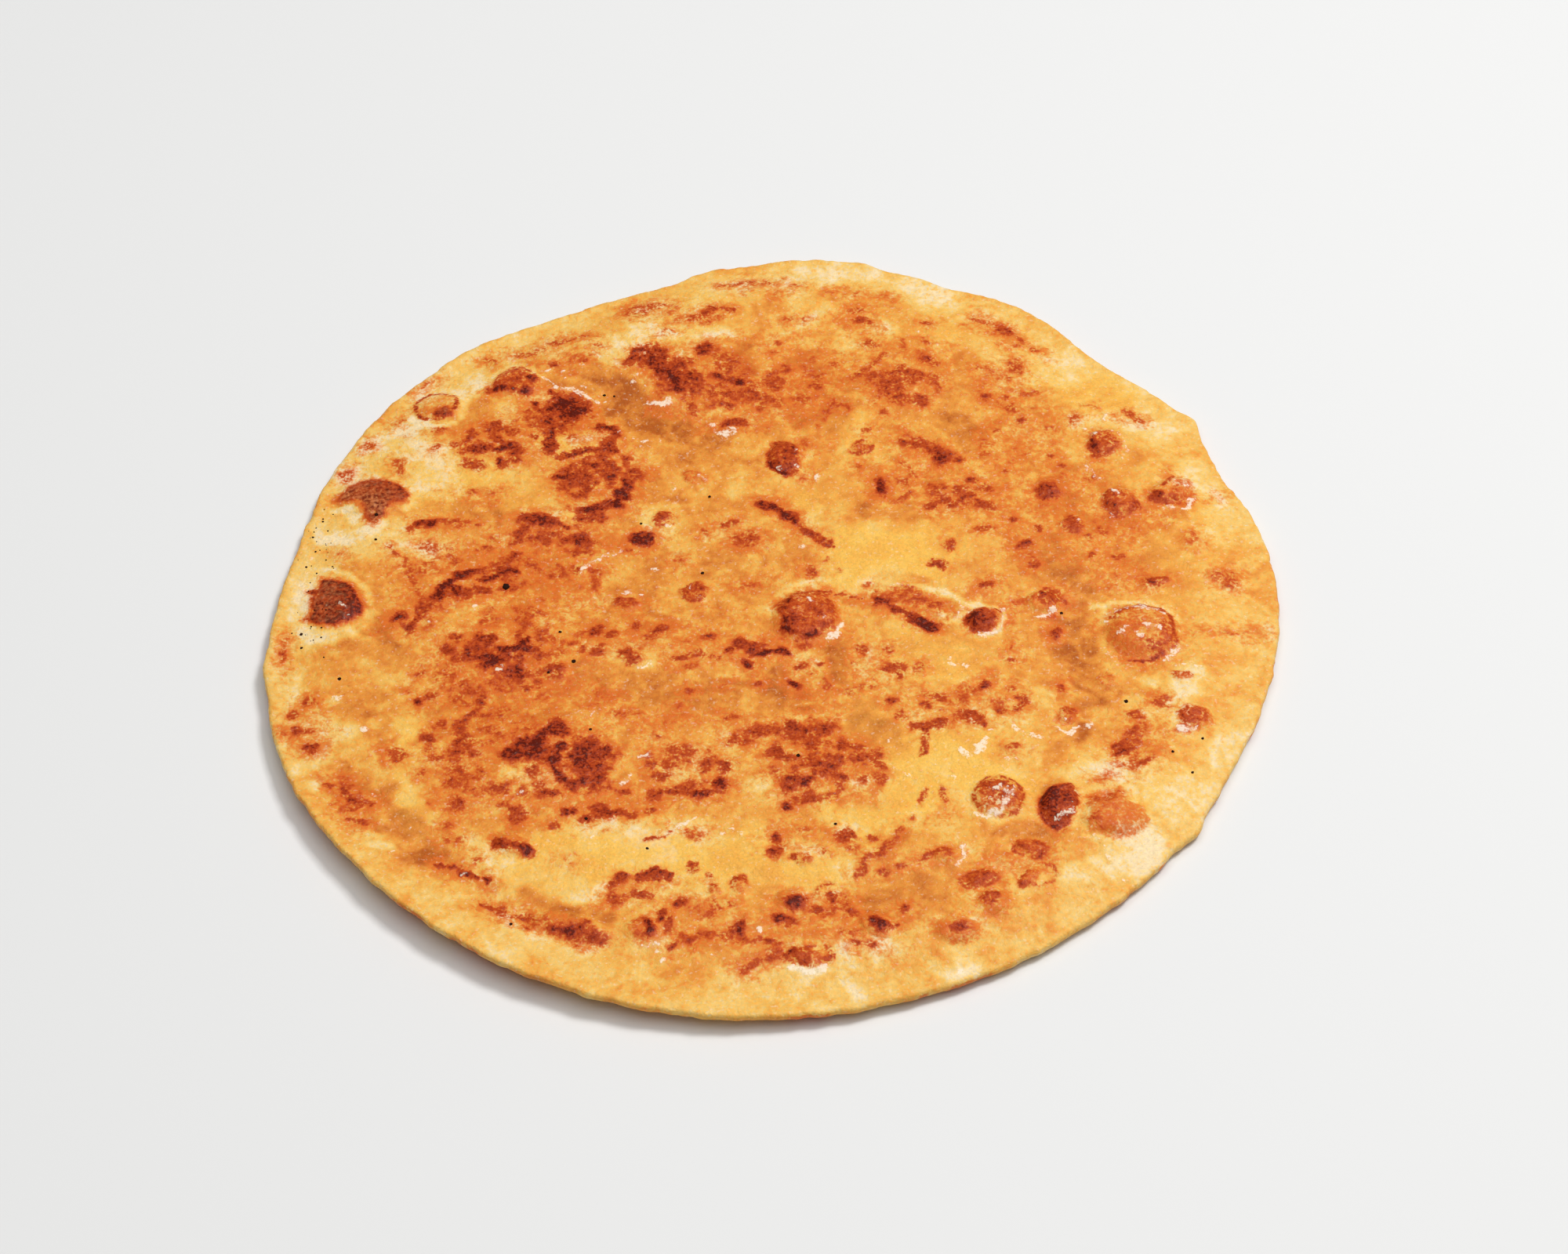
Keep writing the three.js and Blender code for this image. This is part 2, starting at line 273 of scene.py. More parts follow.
# %% Clouds: x, y, half length, half width, turn, tone, cover
CLOUDS = [
    # far left
    (-56.5, 41, 8.5, 7.5, 0, 0.60, 0.60), (-36, 41, 8, 6, 0, 0.60, 0.50), (-36, 31, 9, 7, 0, 0.66, 0.60),
    (-43, 52, 7, 3.2, 20, 0.75, 0.65), (-45, 20.5, 12, 4.2, 14, 0.66, 0.62),
    (-46, 65, 14, 4, 30, 0.30, 0.50), (-57, 12, 8, 5.5, 30, 0.50, 0.55), (-66, 11, 6, 4, 0, 0.36, 0.45),
    (-59, 28.5, 9, 4, 0, 0.42, 0.46), (-34, 14, 7, 4, 40, 0.48, 0.45), (-41, 16, 9, 5, 10, 0.52, 0.60),
    (-40, 23, 6, 4, 0, 0.46, 0.55), (-50, 8, 8, 5, 20, 0.50, 0.56), (-42, 5, 8, 7, 0, 0.44, 0.55),
    (-45, 46, 5, 6, 0, 0.46, 0.55),
    # far middle
    (-21, 61, 9, 6.5, -30, 0.72, 0.70), (-10, 60, 8, 8, 0, 0.56, 0.70), (-16, 77, 9, 3.5, 20, 0.34, 0.55),
    (-25, 80, 5, 3, 10, 0.34, 0.55), (-4, 86, 8, 2.5, 0, 0.36, 0.50), (4, 56, 6, 8, 0, 0.50, 0.62),
    (0, 70, 9, 4, 0, 0.28, 0.45), (12, 63, 7, 6, 0, 0.30, 0.50), (-6, 47, 5, 1.8, 10, 0.50, 0.60),
    (-6, 53, 7, 5, 0, 0.54, 0.62), (5, 49, 6, 6, 0, 0.40, 0.52), (6, 41, 5, 6, 0, 0.34, 0.50),
    (-18, 53, 6, 4, 0, 0.44, 0.52), (6, 31, 4, 4, 0, 0.30, 0.50),
    # far right
    (26, 57, 8, 7.5, 0, 0.54, 0.70), (19, 73, 8, 4, -20, 0.32, 0.50), (31, 66, 7, 4, 0, 0.34, 0.50),
    (46, 72, 8, 3, -45, 0.40, 0.50), (46, 56, 8, 8, 0, 0.34, 0.45), (53, 44, 9, 8, 0, 0.30, 0.45),
    (29, 39.5, 7, 3.2, -15, 0.52, 0.65), (36, 25.5, 8.5, 4.5, 5, 0.64, 0.72), (27, 31, 4, 5, 0, 0.32, 0.50),
    (56, 26, 8, 10, 0, 0.30, 0.50), (58, 14, 8, 8, 0, 0.34, 0.45), (47, 12, 4, 6, 0, 0.34, 0.50),
    (71, 47, 4, 3, 0, 0.30, 0.50), (68, 19, 7, 8, 0, 0.38, 0.52), (75, 22, 6, 7, 0, 0.34, 0.50),
    (66, 6, 6, 6, 0, 0.34, 0.50), (64, 51, 5, 4, -45, 0.34, 0.50), (46, 40, 8, 6, 0, 0.36, 0.50),
    # left
    (-54, -12, 10, 7, 0, 0.74, 0.66), (-45, -16, 7, 6, 0, 0.60, 0.60), (-57, -22, 9, 8, 0, 0.46, 0.72),
    (-63, 2, 8, 3.5, 50, 0.48, 0.50), (-30, -9, 8, 3.5, 10, 0.52, 0.48), (-88, -30, 4, 6, 0, 0.34, 0.45),
    (-48, -4, 9, 6, 0, 0.46, 0.58), (-40, -10, 7, 5, 0, 0.44, 0.52), (-68, -1, 7, 6, 0, 0.34, 0.46),
    (-78, -47, 6, 5, -45, 0.38, 0.50),
    # near left
    (-55, -34, 12, 10, 0, 0.48, 0.74), (-44, -35, 8, 4.5, -20, 0.86, 0.70),
    (-36, -40, 7.5, 7, 0, 0.80, 0.80), (-59, -46, 8, 5, -20, 0.44, 0.55), (-46, -47, 9, 5, 0, 0.50, 0.60),
    (-33, -49, 8, 4, 0, 0.56, 0.55), (-39, -25, 14, 5, 0, 0.34, 0.50), (-22, -30, 10, 4.5, 0, 0.38, 0.52),
    # middle
    (-2, -12.8, 10, 3.2, 5, 0.56, 0.55), (-18, -13.5, 8, 2.5, 0, 0.40, 0.45),
    (-16, -46, 9, 3, 8, 0.52, 0.62), (-19, -39, 7, 4, 0, 0.46, 0.55), (-6, -33, 6, 4, 0, 0.46, 0.55),
    (5, -33, 6, 3.5, 0, 0.60, 0.68), (8, -41, 11, 6, -4, 0.60, 0.62), (5, -46, 6, 4, 0, 0.62, 0.62),
    (19, -18, 9, 5, -20, 0.38, 0.50), (24, -25, 9, 5, -20, 0.34, 0.45), (9, -24, 7, 4, 0, 0.30, 0.40),
    (27, -2, 11, 3.2, -22, 0.42, 0.55), (43, -5, 6, 5, 0, 0.42, 0.55), (52, -3, 5, 5, 0, 0.34, 0.50),
    (6, -30, 7, 5, 0, 0.36, 0.50),
    # near right
    (40, -26, 9, 4, 25, 0.38, 0.50), (29, -33, 5, 4, 0, 0.42, 0.50), (68, -36, 6, 8, -30, 0.36, 0.50),
    (62, -45, 6, 3, 0, 0.30, 0.50), (28, -62, 9, 3, 25, 0.38, 0.50), (15, -60, 8, 5, 40, 0.36, 0.45),
    (42, -64, 9, 5, 20, 0.36, 0.42),
    # near
    (-24, -66, 7, 2.6, 0, 0.50, 0.62), (-29, -70, 4, 3.5, 0, 0.44, 0.58), (-17, -72, 5, 4, 0, 0.40, 0.50),
    (-10, -79, 9, 3, 6, 0.58, 0.62), (6, -73, 8, 4.5, 0, 0.48, 0.58), (12, -80, 9, 3, 0, 0.40, 0.50),
    (-42, -77, 9, 2.6, -20, 0.56, 0.60), (-2, -58, 4, 4, 0, 0.36, 0.40), (-28, -53, 8, 3, 20, 0.24, 0.40),
    (0, -84.5, 7, 1.8, 10, 0.42, 0.50),
    # more in the thick of it
    (-46, 49, 5, 8, 0, 0.56, 0.62), (-37, 48, 4, 3, 0, 0.44, 0.55), (25, 33, 4, 7, 20, 0.40, 0.58),
    (10, 52, 6, 4, 0, 0.40, 0.55), (69, -12, 5, 4.5, 0, 0.30, 0.50), (62.5, -7, 2.4, 2.6, 0, 0.36, 0.55),
    (19, -19, 5, 3, 0, 0.42, 0.60), (-6, -80, 6, 2.5, 5, 0.44, 0.55), (30, -62, 5, 2.2, 25, 0.44, 0.55),
]

# %% Washes: x, y, half length, half width, turn, strength
WASHES = [
    (-52, 4, 11, 7, 0, .42), (-42, 18, 11, 6, 10, .52), (-24, -7, 13, 5, 0, .34), (-47, -20, 14, 8, 0, .50),
    (-64, -31, 5, 8, 0, .36), (50, 24, 13, 9, 0, .36), (-40, -38, 14, 9, 0, .50), (5, -40, 14, 9, 0, .46),
    (-14, 62, 14, 8, -10, .46), (2, 54, 12, 8, 0, .46), (-48, 46, 14, 10, 0, .40), (-35, 33, 11, 9, 0, .42),
    (26, 58, 12, 8, 0, .34), (-58, -14, 12, 8, 0, .44), (34, 30, 12, 7, 0, .34), (6, -5, 9, 8, 0, .34),
    (-14, -44, 10, 6, 10, .36), (64, -36, 6, 8, -30, .30), (-4, -76, 16, 6, 0, .34),
    (24, -62, 13, 5, 20, .28), (-20, -5, 16, 5, 0, .40), (66, 54, 6, 3, -45, .40), (18, -41, 6, 4, 0, .34),
    (58, 26, 9, 9, 0, .26), (-64, 28, 7, 4, 0, .34), (-30, 30, 6, 8, 0, .36), (-60, -34, 9, 9, 0, .30),
    (-66, -30, 5, 7, 0, .34), (6, 32, 5, 6, 0, .24), (-66, 54, 4, 5, 0, .30),
]

# %% Lay down the clouds and the washes
PATCH_WIDE, PATCH_FINE = 3.6, 1.6
WANDER_WIDE, WANDER_FAR = 5.5, 3.2
CLOUD_BASE, CLOUD_MORE = 0.16, 0.84  # share of its tone between a cloud's patches, and more on them
WASH_TONE = 0.40                 # tone of a wash at full strength
patchy = 0.6 * rough_hills(X, Y, PATCH_WIDE, 21) + 0.4 * rough_hills(X, Y, PATCH_FINE, 24)
wander_x = X + WANDER_FAR * swing(X, Y, WANDER_WIDE, 15)
wander_y = Y + WANDER_FAR * swing(X, Y, WANDER_WIDE, 16)
for x, y, half_long, half_wide, turn, tone, cover in CLOUDS:
    near = smooth((1.45 - oval(wander_x, wander_y, x, y, half_long, half_wide, turn)) / 0.95)
    grown = patchy + 0.22 * (near - 1.0)
    deep = smooth((grown - (0.66 - 0.42 * cover)) / 0.26)
    toast = add_tone(toast, tone * near * (CLOUD_BASE + CLOUD_MORE * deep))
    blush = np.maximum(blush, min(1.0, 0.30 + 0.9 * tone) * near)
for x, y, half_long, half_wide, turn, strength in WASHES:
    near = smooth((1.5 - oval(wander_x, wander_y, x, y, half_long, half_wide, turn)) / 1.2)
    toast = add_tone(toast, WASH_TONE * strength * near)
    blush = np.maximum(blush, strength * near)
print("clouds:", len(CLOUDS), "washes:", len(WASHES), "mean tone", round(float(toast[on_top].mean()), 3))

# %% [markdown]
# ### Spots
# The small dark spots are where a bubble under the skin pressed it hard on the iron. Each is a few
# millimetres across, darkest in its middle, with an orange rim.

# %% Spots on the left half: x, y, half length, half width, turn, tone
SPOTS_LEFT = [
    # between the large charred marks and the middle
    (-60, 45, 1.8, 1.4, 0, .60), (-56, 46.5, 2.0, 1.4, 20, .62), (-52, 45.5, 2.0, 1.3, 0, .55),
    (-63, 42, 1.6, 1.2, 0, .50), (-58.5, 41, 2.7, 1.8, 0, .78), (-54, 40.8, 2.6, 1.8, 10, .82),
    (-51, 39.5, 2.0, 1.6, 0, .72), (-61, 37, 1.8, 1.3, 0, .50), (-58.5, 36.5, 1.8, 1.3, 0, .58),
    (-53.5, 36.5, 1.6, 1.2, 0, .52), (-51, 37.5, 1.5, 1.2, 0, .52), (-67.5, 41, 1.5, 1.5, 0, .42),
    (-74, 36.5, 1.6, 2.4, 0, .36), (-84.5, 35, 1.5, 2.0, 0, .40), (-80.6, 43.2, 1.5, 1.5, 0, .42),
    (-73.5, 46, 1.0, 1.0, 0, .25), (-66.8, 46, 2.0, 1.5, 0, .34), (-73.3, -4, 1.2, 1.6, 0, .85),
    (-70, -5.7, 1.6, 1.1, 0, .72), (-76, -6.2, 0.6, 0.6, 0, .55), (-68.5, -1.5, 1.4, 2.6, 0, .55),
    (-67.5, -16.7, 0.9, 0.9, 0, .55), (-69.4, -21.2, 0.8, 0.8, 0, .55), (-67.2, -24.2, 1.1, 1.1, 0, .92),
    (-64.5, -23.3, 1.4, 0.9, 0, .62), (-62.5, -12.5, 1.8, 1.6, 0, .72), (-61.5, -9, 1.4, 1.2, 0, .66),
    (-53.5, -14.5, 3.0, 1.6, 0, .95), (-54.2, -9, 1.8, 1.4, 0, .72), (-50, -17.5, 3.0, 2.0, 0, .74),
    (-55.5, -24, 0.8, 1.6, 0, .70), (-57, -27, 1.2, 0.8, 0, .70), (-62.5, -29.8, 1.3, 1.0, 0, .60),
    (-59, -28.8, 1.3, 1.0, 0, .60), (-64.8, -33.3, 1.5, 1.0, 0, .66), (-59, -34.5, 1.3, 1.3, 0, .66),
    (-58.8, -37.3, 1.5, 0.8, 0, .66), (-56.8, -37.2, 1.2, 0.9, 0, .60), (-63, -37.5, 1.4, 1.1, 0, .60),
    (-49.5, -38, 2.5, 1.8, 0, .95), (-66, -41.3, 1.0, 0.8, 0, .50), (-60, -44, 1.5, 1.5, 0, .56),
    (-59, -48.5, 2.0, 1.5, 0, .60), (-47.8, -51.5, 2.0, 2.0, 0, .62), (-48, -11, 2.0, 2.0, 0, .74),
    (-45, -13.5, 1.5, 1.2, 0, .66), (-48, -17.7, 1.6, 1.3, 0, .66), (-42, -17.5, 2.2, 2.0, 0, .56),
    (-47, -21.3, 1.2, 1.2, 0, .60), (-44.6, -21.7, 0.6, 0.6, 0, .55), (-34.7, -7.3, 1.8, 1.3, 0, .72),
    (-31.5, -8.3, 1.3, 1.1, 0, .55), (-33, -11.3, 1.0, 1.0, 0, .60), (-34, -12.8, 1.8, 1.5, 0, .68),
    (-37, -11.8, 1.3, 1.0, 0, .50), (-27, -6, 1.5, 1.5, 0, .55), (-23.5, -8.3, 2.0, 1.6, 0, .56),
    (-21.7, -7.3, 1.8, 1.3, 0, .66), (-13.3, -9, 1.3, 1.3, 0, .60), (-8.8, -12.8, 1.1, 1.1, 0, .88),
    (-6.5, -11.5, 2.0, 1.5, 0, .76), (-3.8, -12.5, 1.5, 1.2, 0, .76), (-5.3, -16.2, 1.2, 1.1, 0, .94),
    (-17, -22.5, 1.1, 1.1, 0, .62), (-10, -22, 1.2, 0.9, 0, .45), (-2.8, -21, 1.1, 1.1, 0, .66),
    # near left, the darkest patch
    (-44.5, -33.5, 2.1, 1.8, 0, .98), (-46.5, -35.5, 2.0, 1.6, 0, .90), (-35.5, -39.5, 3.2, 3.0, 0, .74),
    (-33, -37.5, 2.0, 2.0, 0, .78), (-33.5, -44.5, 1.2, 1.0, 0, .80), (-32, -46, 1.3, 1.0, 0, .72),
    (-42, -46.5, 2.0, 1.1, 0, .78), (-29, -46.5, 1.5, 1.2, 0, .66), (-18, -37.5, 3.0, 2.0, 0, .48),
    (-20, -40, 2.0, 1.5, 0, .55), (-22, -43, 2.0, 1.5, 0, .55), (-15, -47.3, 2.0, 1.1, 0, .82),
    (-10.5, -44.5, 2.0, 1.3, 0, .86), (-9.7, -41.3, 1.3, 1.5, 0, .70), (-7.5, -35.5, 1.8, 1.0, 0, .55),
    (-3.5, -33, 2.5, 1.6, 0, .60), (-8.5, -29.5, 2.0, 1.2, 0, .42), (-22.5, -34, 0.6, 0.6, 0, .60),
    (-0.5, -38, 1.5, 2.0, 0, .62), (-38.5, -50.8, 2.0, 1.5, 0, .92), (-33, -50.7, 1.8, 1.3, 0, .74),
    (-41, -54, 1.5, 1.0, 0, .55), (-23.5, -50.5, 1.5, 1.2, 0, .50), (-15.5, -56.5, 2.5, 1.8, 0, .36),
    (-28.7, -66, 1.6, 1.3, 0, .84), (-31, -67.8, 1.3, 1.3, 0, .66), (-16.8, -63.7, 1.4, 0.9, 0, .60),
    (-16.5, -65.2, 1.2, 0.9, 0, .55), (-30.5, -71, 1.8, 1.5, 0, .55), (-18.3, -72.3, 1.5, 0.9, 0, .66),
    (-21.8, -74.8, 1.2, 1.1, 0, .85), (-20, -77, 1.3, 2.0, 0, .66), (-13, -66.3, 1.0, 0.8, 0, .50),
    (-9.5, -72.5, 1.4, 1.0, 0, .45), (-12.5, -74, 1.4, 1.0, 0, .48), (-38.8, -62.5, 1.5, 1.2, 0, .28),
    (-55, -61.5, 1.3, 0.9, 0, .45), (-60, -57, 1.2, 0.9, 0, .40), (-57.5, -57, 1.2, 0.9, 0, .40),
    (-60.5, -53.8, 1.3, 1.0, 0, .40), (-7.5, -78, 1.3, 1.6, 0, .95), (-20, -81.7, 0.9, 0.9, 0, .60),
    (-2, -84.3, 1.2, 0.9, 0, .60), (-2, -81, 2.5, 0.8, 0, .60), (-93.6, -12.5, 1.0, 2.2, 0, .40),
    (-93.5, -8, 0.9, 1.2, 0, .36), (-87.8, -23.5, 1.7, 1.5, 0, .50), (-90.3, -26.7, 1.3, 1.7, 0, .70),
    (-88.5, -31, 2.5, 0.8, 0, .62), (-87, -35.5, 2.0, 1.6, 0, .74), (-85.8, -34.4, 0.8, 0.8, 0, .84),
    (-71, -36.8, 2.2, 2.0, 0, .44), (-79.5, -44.5, 1.3, 1.2, 0, .60), (-77.5, -49, 1.6, 1.0, 0, .50),
    # far left of the middle
    (-28.5, 64, 1.5, 1.3, 0, .66), (-22, 66.8, 1.6, 1.0, 0, .80), (-20, 59.5, 3.0, 1.7, -55, .96),
    (-14, 67.5, 2.3, 2.0, 0, .82), (-16, 55.5, 1.2, 2.0, 0, .66), (-9, 54.5, 2.0, 1.1, 0, .55),
    (-42.5, 52.5, 3.0, 2.0, 0, .96), (-40, 50.5, 3.0, 2.0, 0, .88), (-44, 54.5, 1.6, 1.3, 0, .74),
    (-46, 51, 1.6, 1.3, 0, .66), (-38, 52.5, 1.6, 1.2, 0, .66), (-44, 64.5, 1.4, 1.2, 0, .56),
    (-38, 65.7, 1.4, 1.1, 0, .40), (-36, 69, 1.5, 1.1, 0, .36), (-47, 69.5, 1.4, 1.1, 0, .34),
    (-58, 67, 1.6, 1.1, 0, .34), (-51.5, 67.5, 1.4, 1.0, 0, .34), (-27, 80, 3.5, 3.0, 0, .36),
    (-22, 72, 2.0, 1.5, 0, .36), (-12.5, 78.5, 2.0, 1.4, 0, .62), (-41, 35, 2.0, 0.9, 20, .60),
    (-38, 32, 3.6, 2.6, 0, .66), (-37, 29.5, 1.6, 1.2, 0, .60), (-32.5, 34, 2.6, 2.4, 0, .66),
    (-29.3, 37, 1.4, 1.3, 0, .62), (-33, 36.5, 1.3, 1.0, 0, .62), (-27.5, 33.5, 2.6, 2.2, 0, .62),
    (-30, 28, 2.1, 1.6, 0, .86), (-31.5, 25, 2.5, 1.5, 0, .95), (-34, 21.5, 1.5, 1.1, 0, .62),
    (-47, 22, 3.6, 1.6, 10, .78), (-44, 21, 2.2, 1.4, 0, .80), (-38.5, 17, 2.5, 1.6, 0, .78),
    (-38, 13.5, 3.0, 1.5, 0, .52), (-26, 16.5, 2.5, 1.5, 0, .96), (-28.5, 13.5, 1.4, 1.0, 0, .60),
    (-39, 8.7, 1.4, 1.0, 0, .55), (-35, 8.3, 1.4, 1.0, 0, .55), (-8.5, 19.5, 1.8, 1.3, 0, .55),
    (-13.3, 17.2, 0.9, 0.9, 0, .50), (-5.5, 14.8, 3.0, 1.8, 0, .52), (-5, 3.5, 2.7, 1.2, 0, .34),
    (-19, 10, 1.4, 0.9, 0, .40), (-29, -0.5, 2.5, 1.2, 0, .58), (-69, 21, 2.0, 1.0, 0, .84),
    (-66.5, 20.5, 1.6, 1.1, 0, .88), (-70, 9, 4.0, 2.5, 0, .34), (-66, 14, 2.5, 1.6, 0, .34),
    (-60.5, 7.5, 2.0, 1.5, 0, .92), (-56.5, 3.8, 1.6, 1.2, 0, .70), (-60, 2, 3.0, 2.0, 0, .58),
    # on the blisters of the left half
    (-54.8, 57.6, 1.5, 1.3, 0, .98), (-50, 56.8, 1.3, 1.2, 0, .98), (-49, 60, 1.3, 1.7, 0, .84),
    (-46.5, -60, 1.3, 0.8, -30, .94), (-38.5, -78, 3.5, 1.1, -15, .84), (-24, -77.7, 1.3, 1.5, 0, .98),
    (-41, 50.8, 1.6, 1.4, 0, .98), (-84.6, 14, 0.8, 0.6, 0, .45), (-93.7, -11, 0.9, 2.2, 0, .50),
    (-70, 60, 2.2, 0.9, 40, .34), (-75, 50, 2.4, 1.2, 30, .30), (-66.5, 46, 1.8, 0.9, 0, .36),
    (-57, 57.5, 1.4, 1.6, 0, .50), (-68, 14.5, 2.6, 1.8, 0, .44), (-61, 3.2, 1.6, 1.2, 0, .84),
    # small dark points in the toasted band
    (-48.3, 53, 1.0, 0.9, 0, .86), (-45.6, 55.8, 0.9, 0.8, 0, .80), (-44.6, 47.4, 0.9, 1.1, 0, .90),
    (-41.5, 46, 1.0, 0.8, 0, .70), (-47.5, 43.5, 1.0, 0.8, 0, .66), (-35, 35.8, 0.9, 0.8, 0, .84),
    (-41, 34.4, 1.1, 0.7, 0, .80), (-29.3, 31.6, 0.8, 0.9, 0, .90), (-47.2, 17.6, 1.6, 1.0, 0, .66),
    (-44.5, 15.8, 1.0, 0.8, 0, .70), (-41, 19.8, 0.8, 0.7, 0, .90), (-39.4, 12.4, 1.0, 0.8, 0, .64),
    (-54, 37.2, 0.8, 0.7, 0, .96), (-56.2, 43.6, 0.8, 0.7, 0, .74), (-62.5, 39.4, 1.2, 0.8, 0, .60),
    (-58, 20.2, 1.0, 0.6, 0, .60), (-50.5, 13.2, 1.2, 0.8, 0, .62), (-55.5, 14.4, 1.2, 0.7, 0, .56),
    # red patches that join the dark ones at the far left and the far middle
    (-44, 47, 1.4, 2.6, 0, .62), (-39.5, 48.5, 1.8, 1.6, 0, .70), (-34.5, 45.5, 1.8, 1.5, 0, .66),
    (-32.6, 42, 1.3, 2.6, 0, .60), (-38, 39.8, 2.8, 1.0, 0, .52), (-47.5, 51.5, 2.0, 1.2, 0, .62),
    (-45, 39.5, 1.6, 1.3, 0, .62), (-33.5, 39, 1.6, 1.8, 0, .60), (-9, 63, 3.4, 3.4, 0, .44),
    (-11, 59, 2.6, 1.2, -20, .74), (-7.5, 58, 1.8, 1.0, -20, .78), (-4.5, 54.5, 2.6, 3.4, 0, .52),
    (-8.5, 52, 1.5, 1.4, 0, .62), (-16, 51.5, 1.6, 2.4, 0, .52), (-8, 47.2, 3.4, 1.3, 14, .74),
    (-26.5, 65.5, 2.6, 1.8, -40, .62), (-43.8, 71.6, 2.6, 1.3, 10, .42), (-50, 68.3, 3.6, 1.4, 0, .40),
    (-64, 3.5, 1.4, 3.2, -35, .66), (-52.5, 11, 3.2, 1.3, 25, .60), (-44.5, 17.6, 3.0, 1.2, 15, .62),
    (-36.8, 22, 2.6, 1.2, 20, .62), (-72, -3.5, 1.2, 1.6, 0, .62), (-50, 16.5, 1.6, 1.0, 20, .52),
    (-23, -47.5, 1.8, 1.3, 0, .60), (-24, -40, 1.6, 2.4, 0, .52), (-13, -40.5, 2.0, 1.6, 0, .56),
    (-52, -45.5, 2.2, 1.4, 0, .56), (-45, -41.5, 1.4, 2.0, 0, .60), (-38, -44, 2.6, 1.8, 0, .66),
]

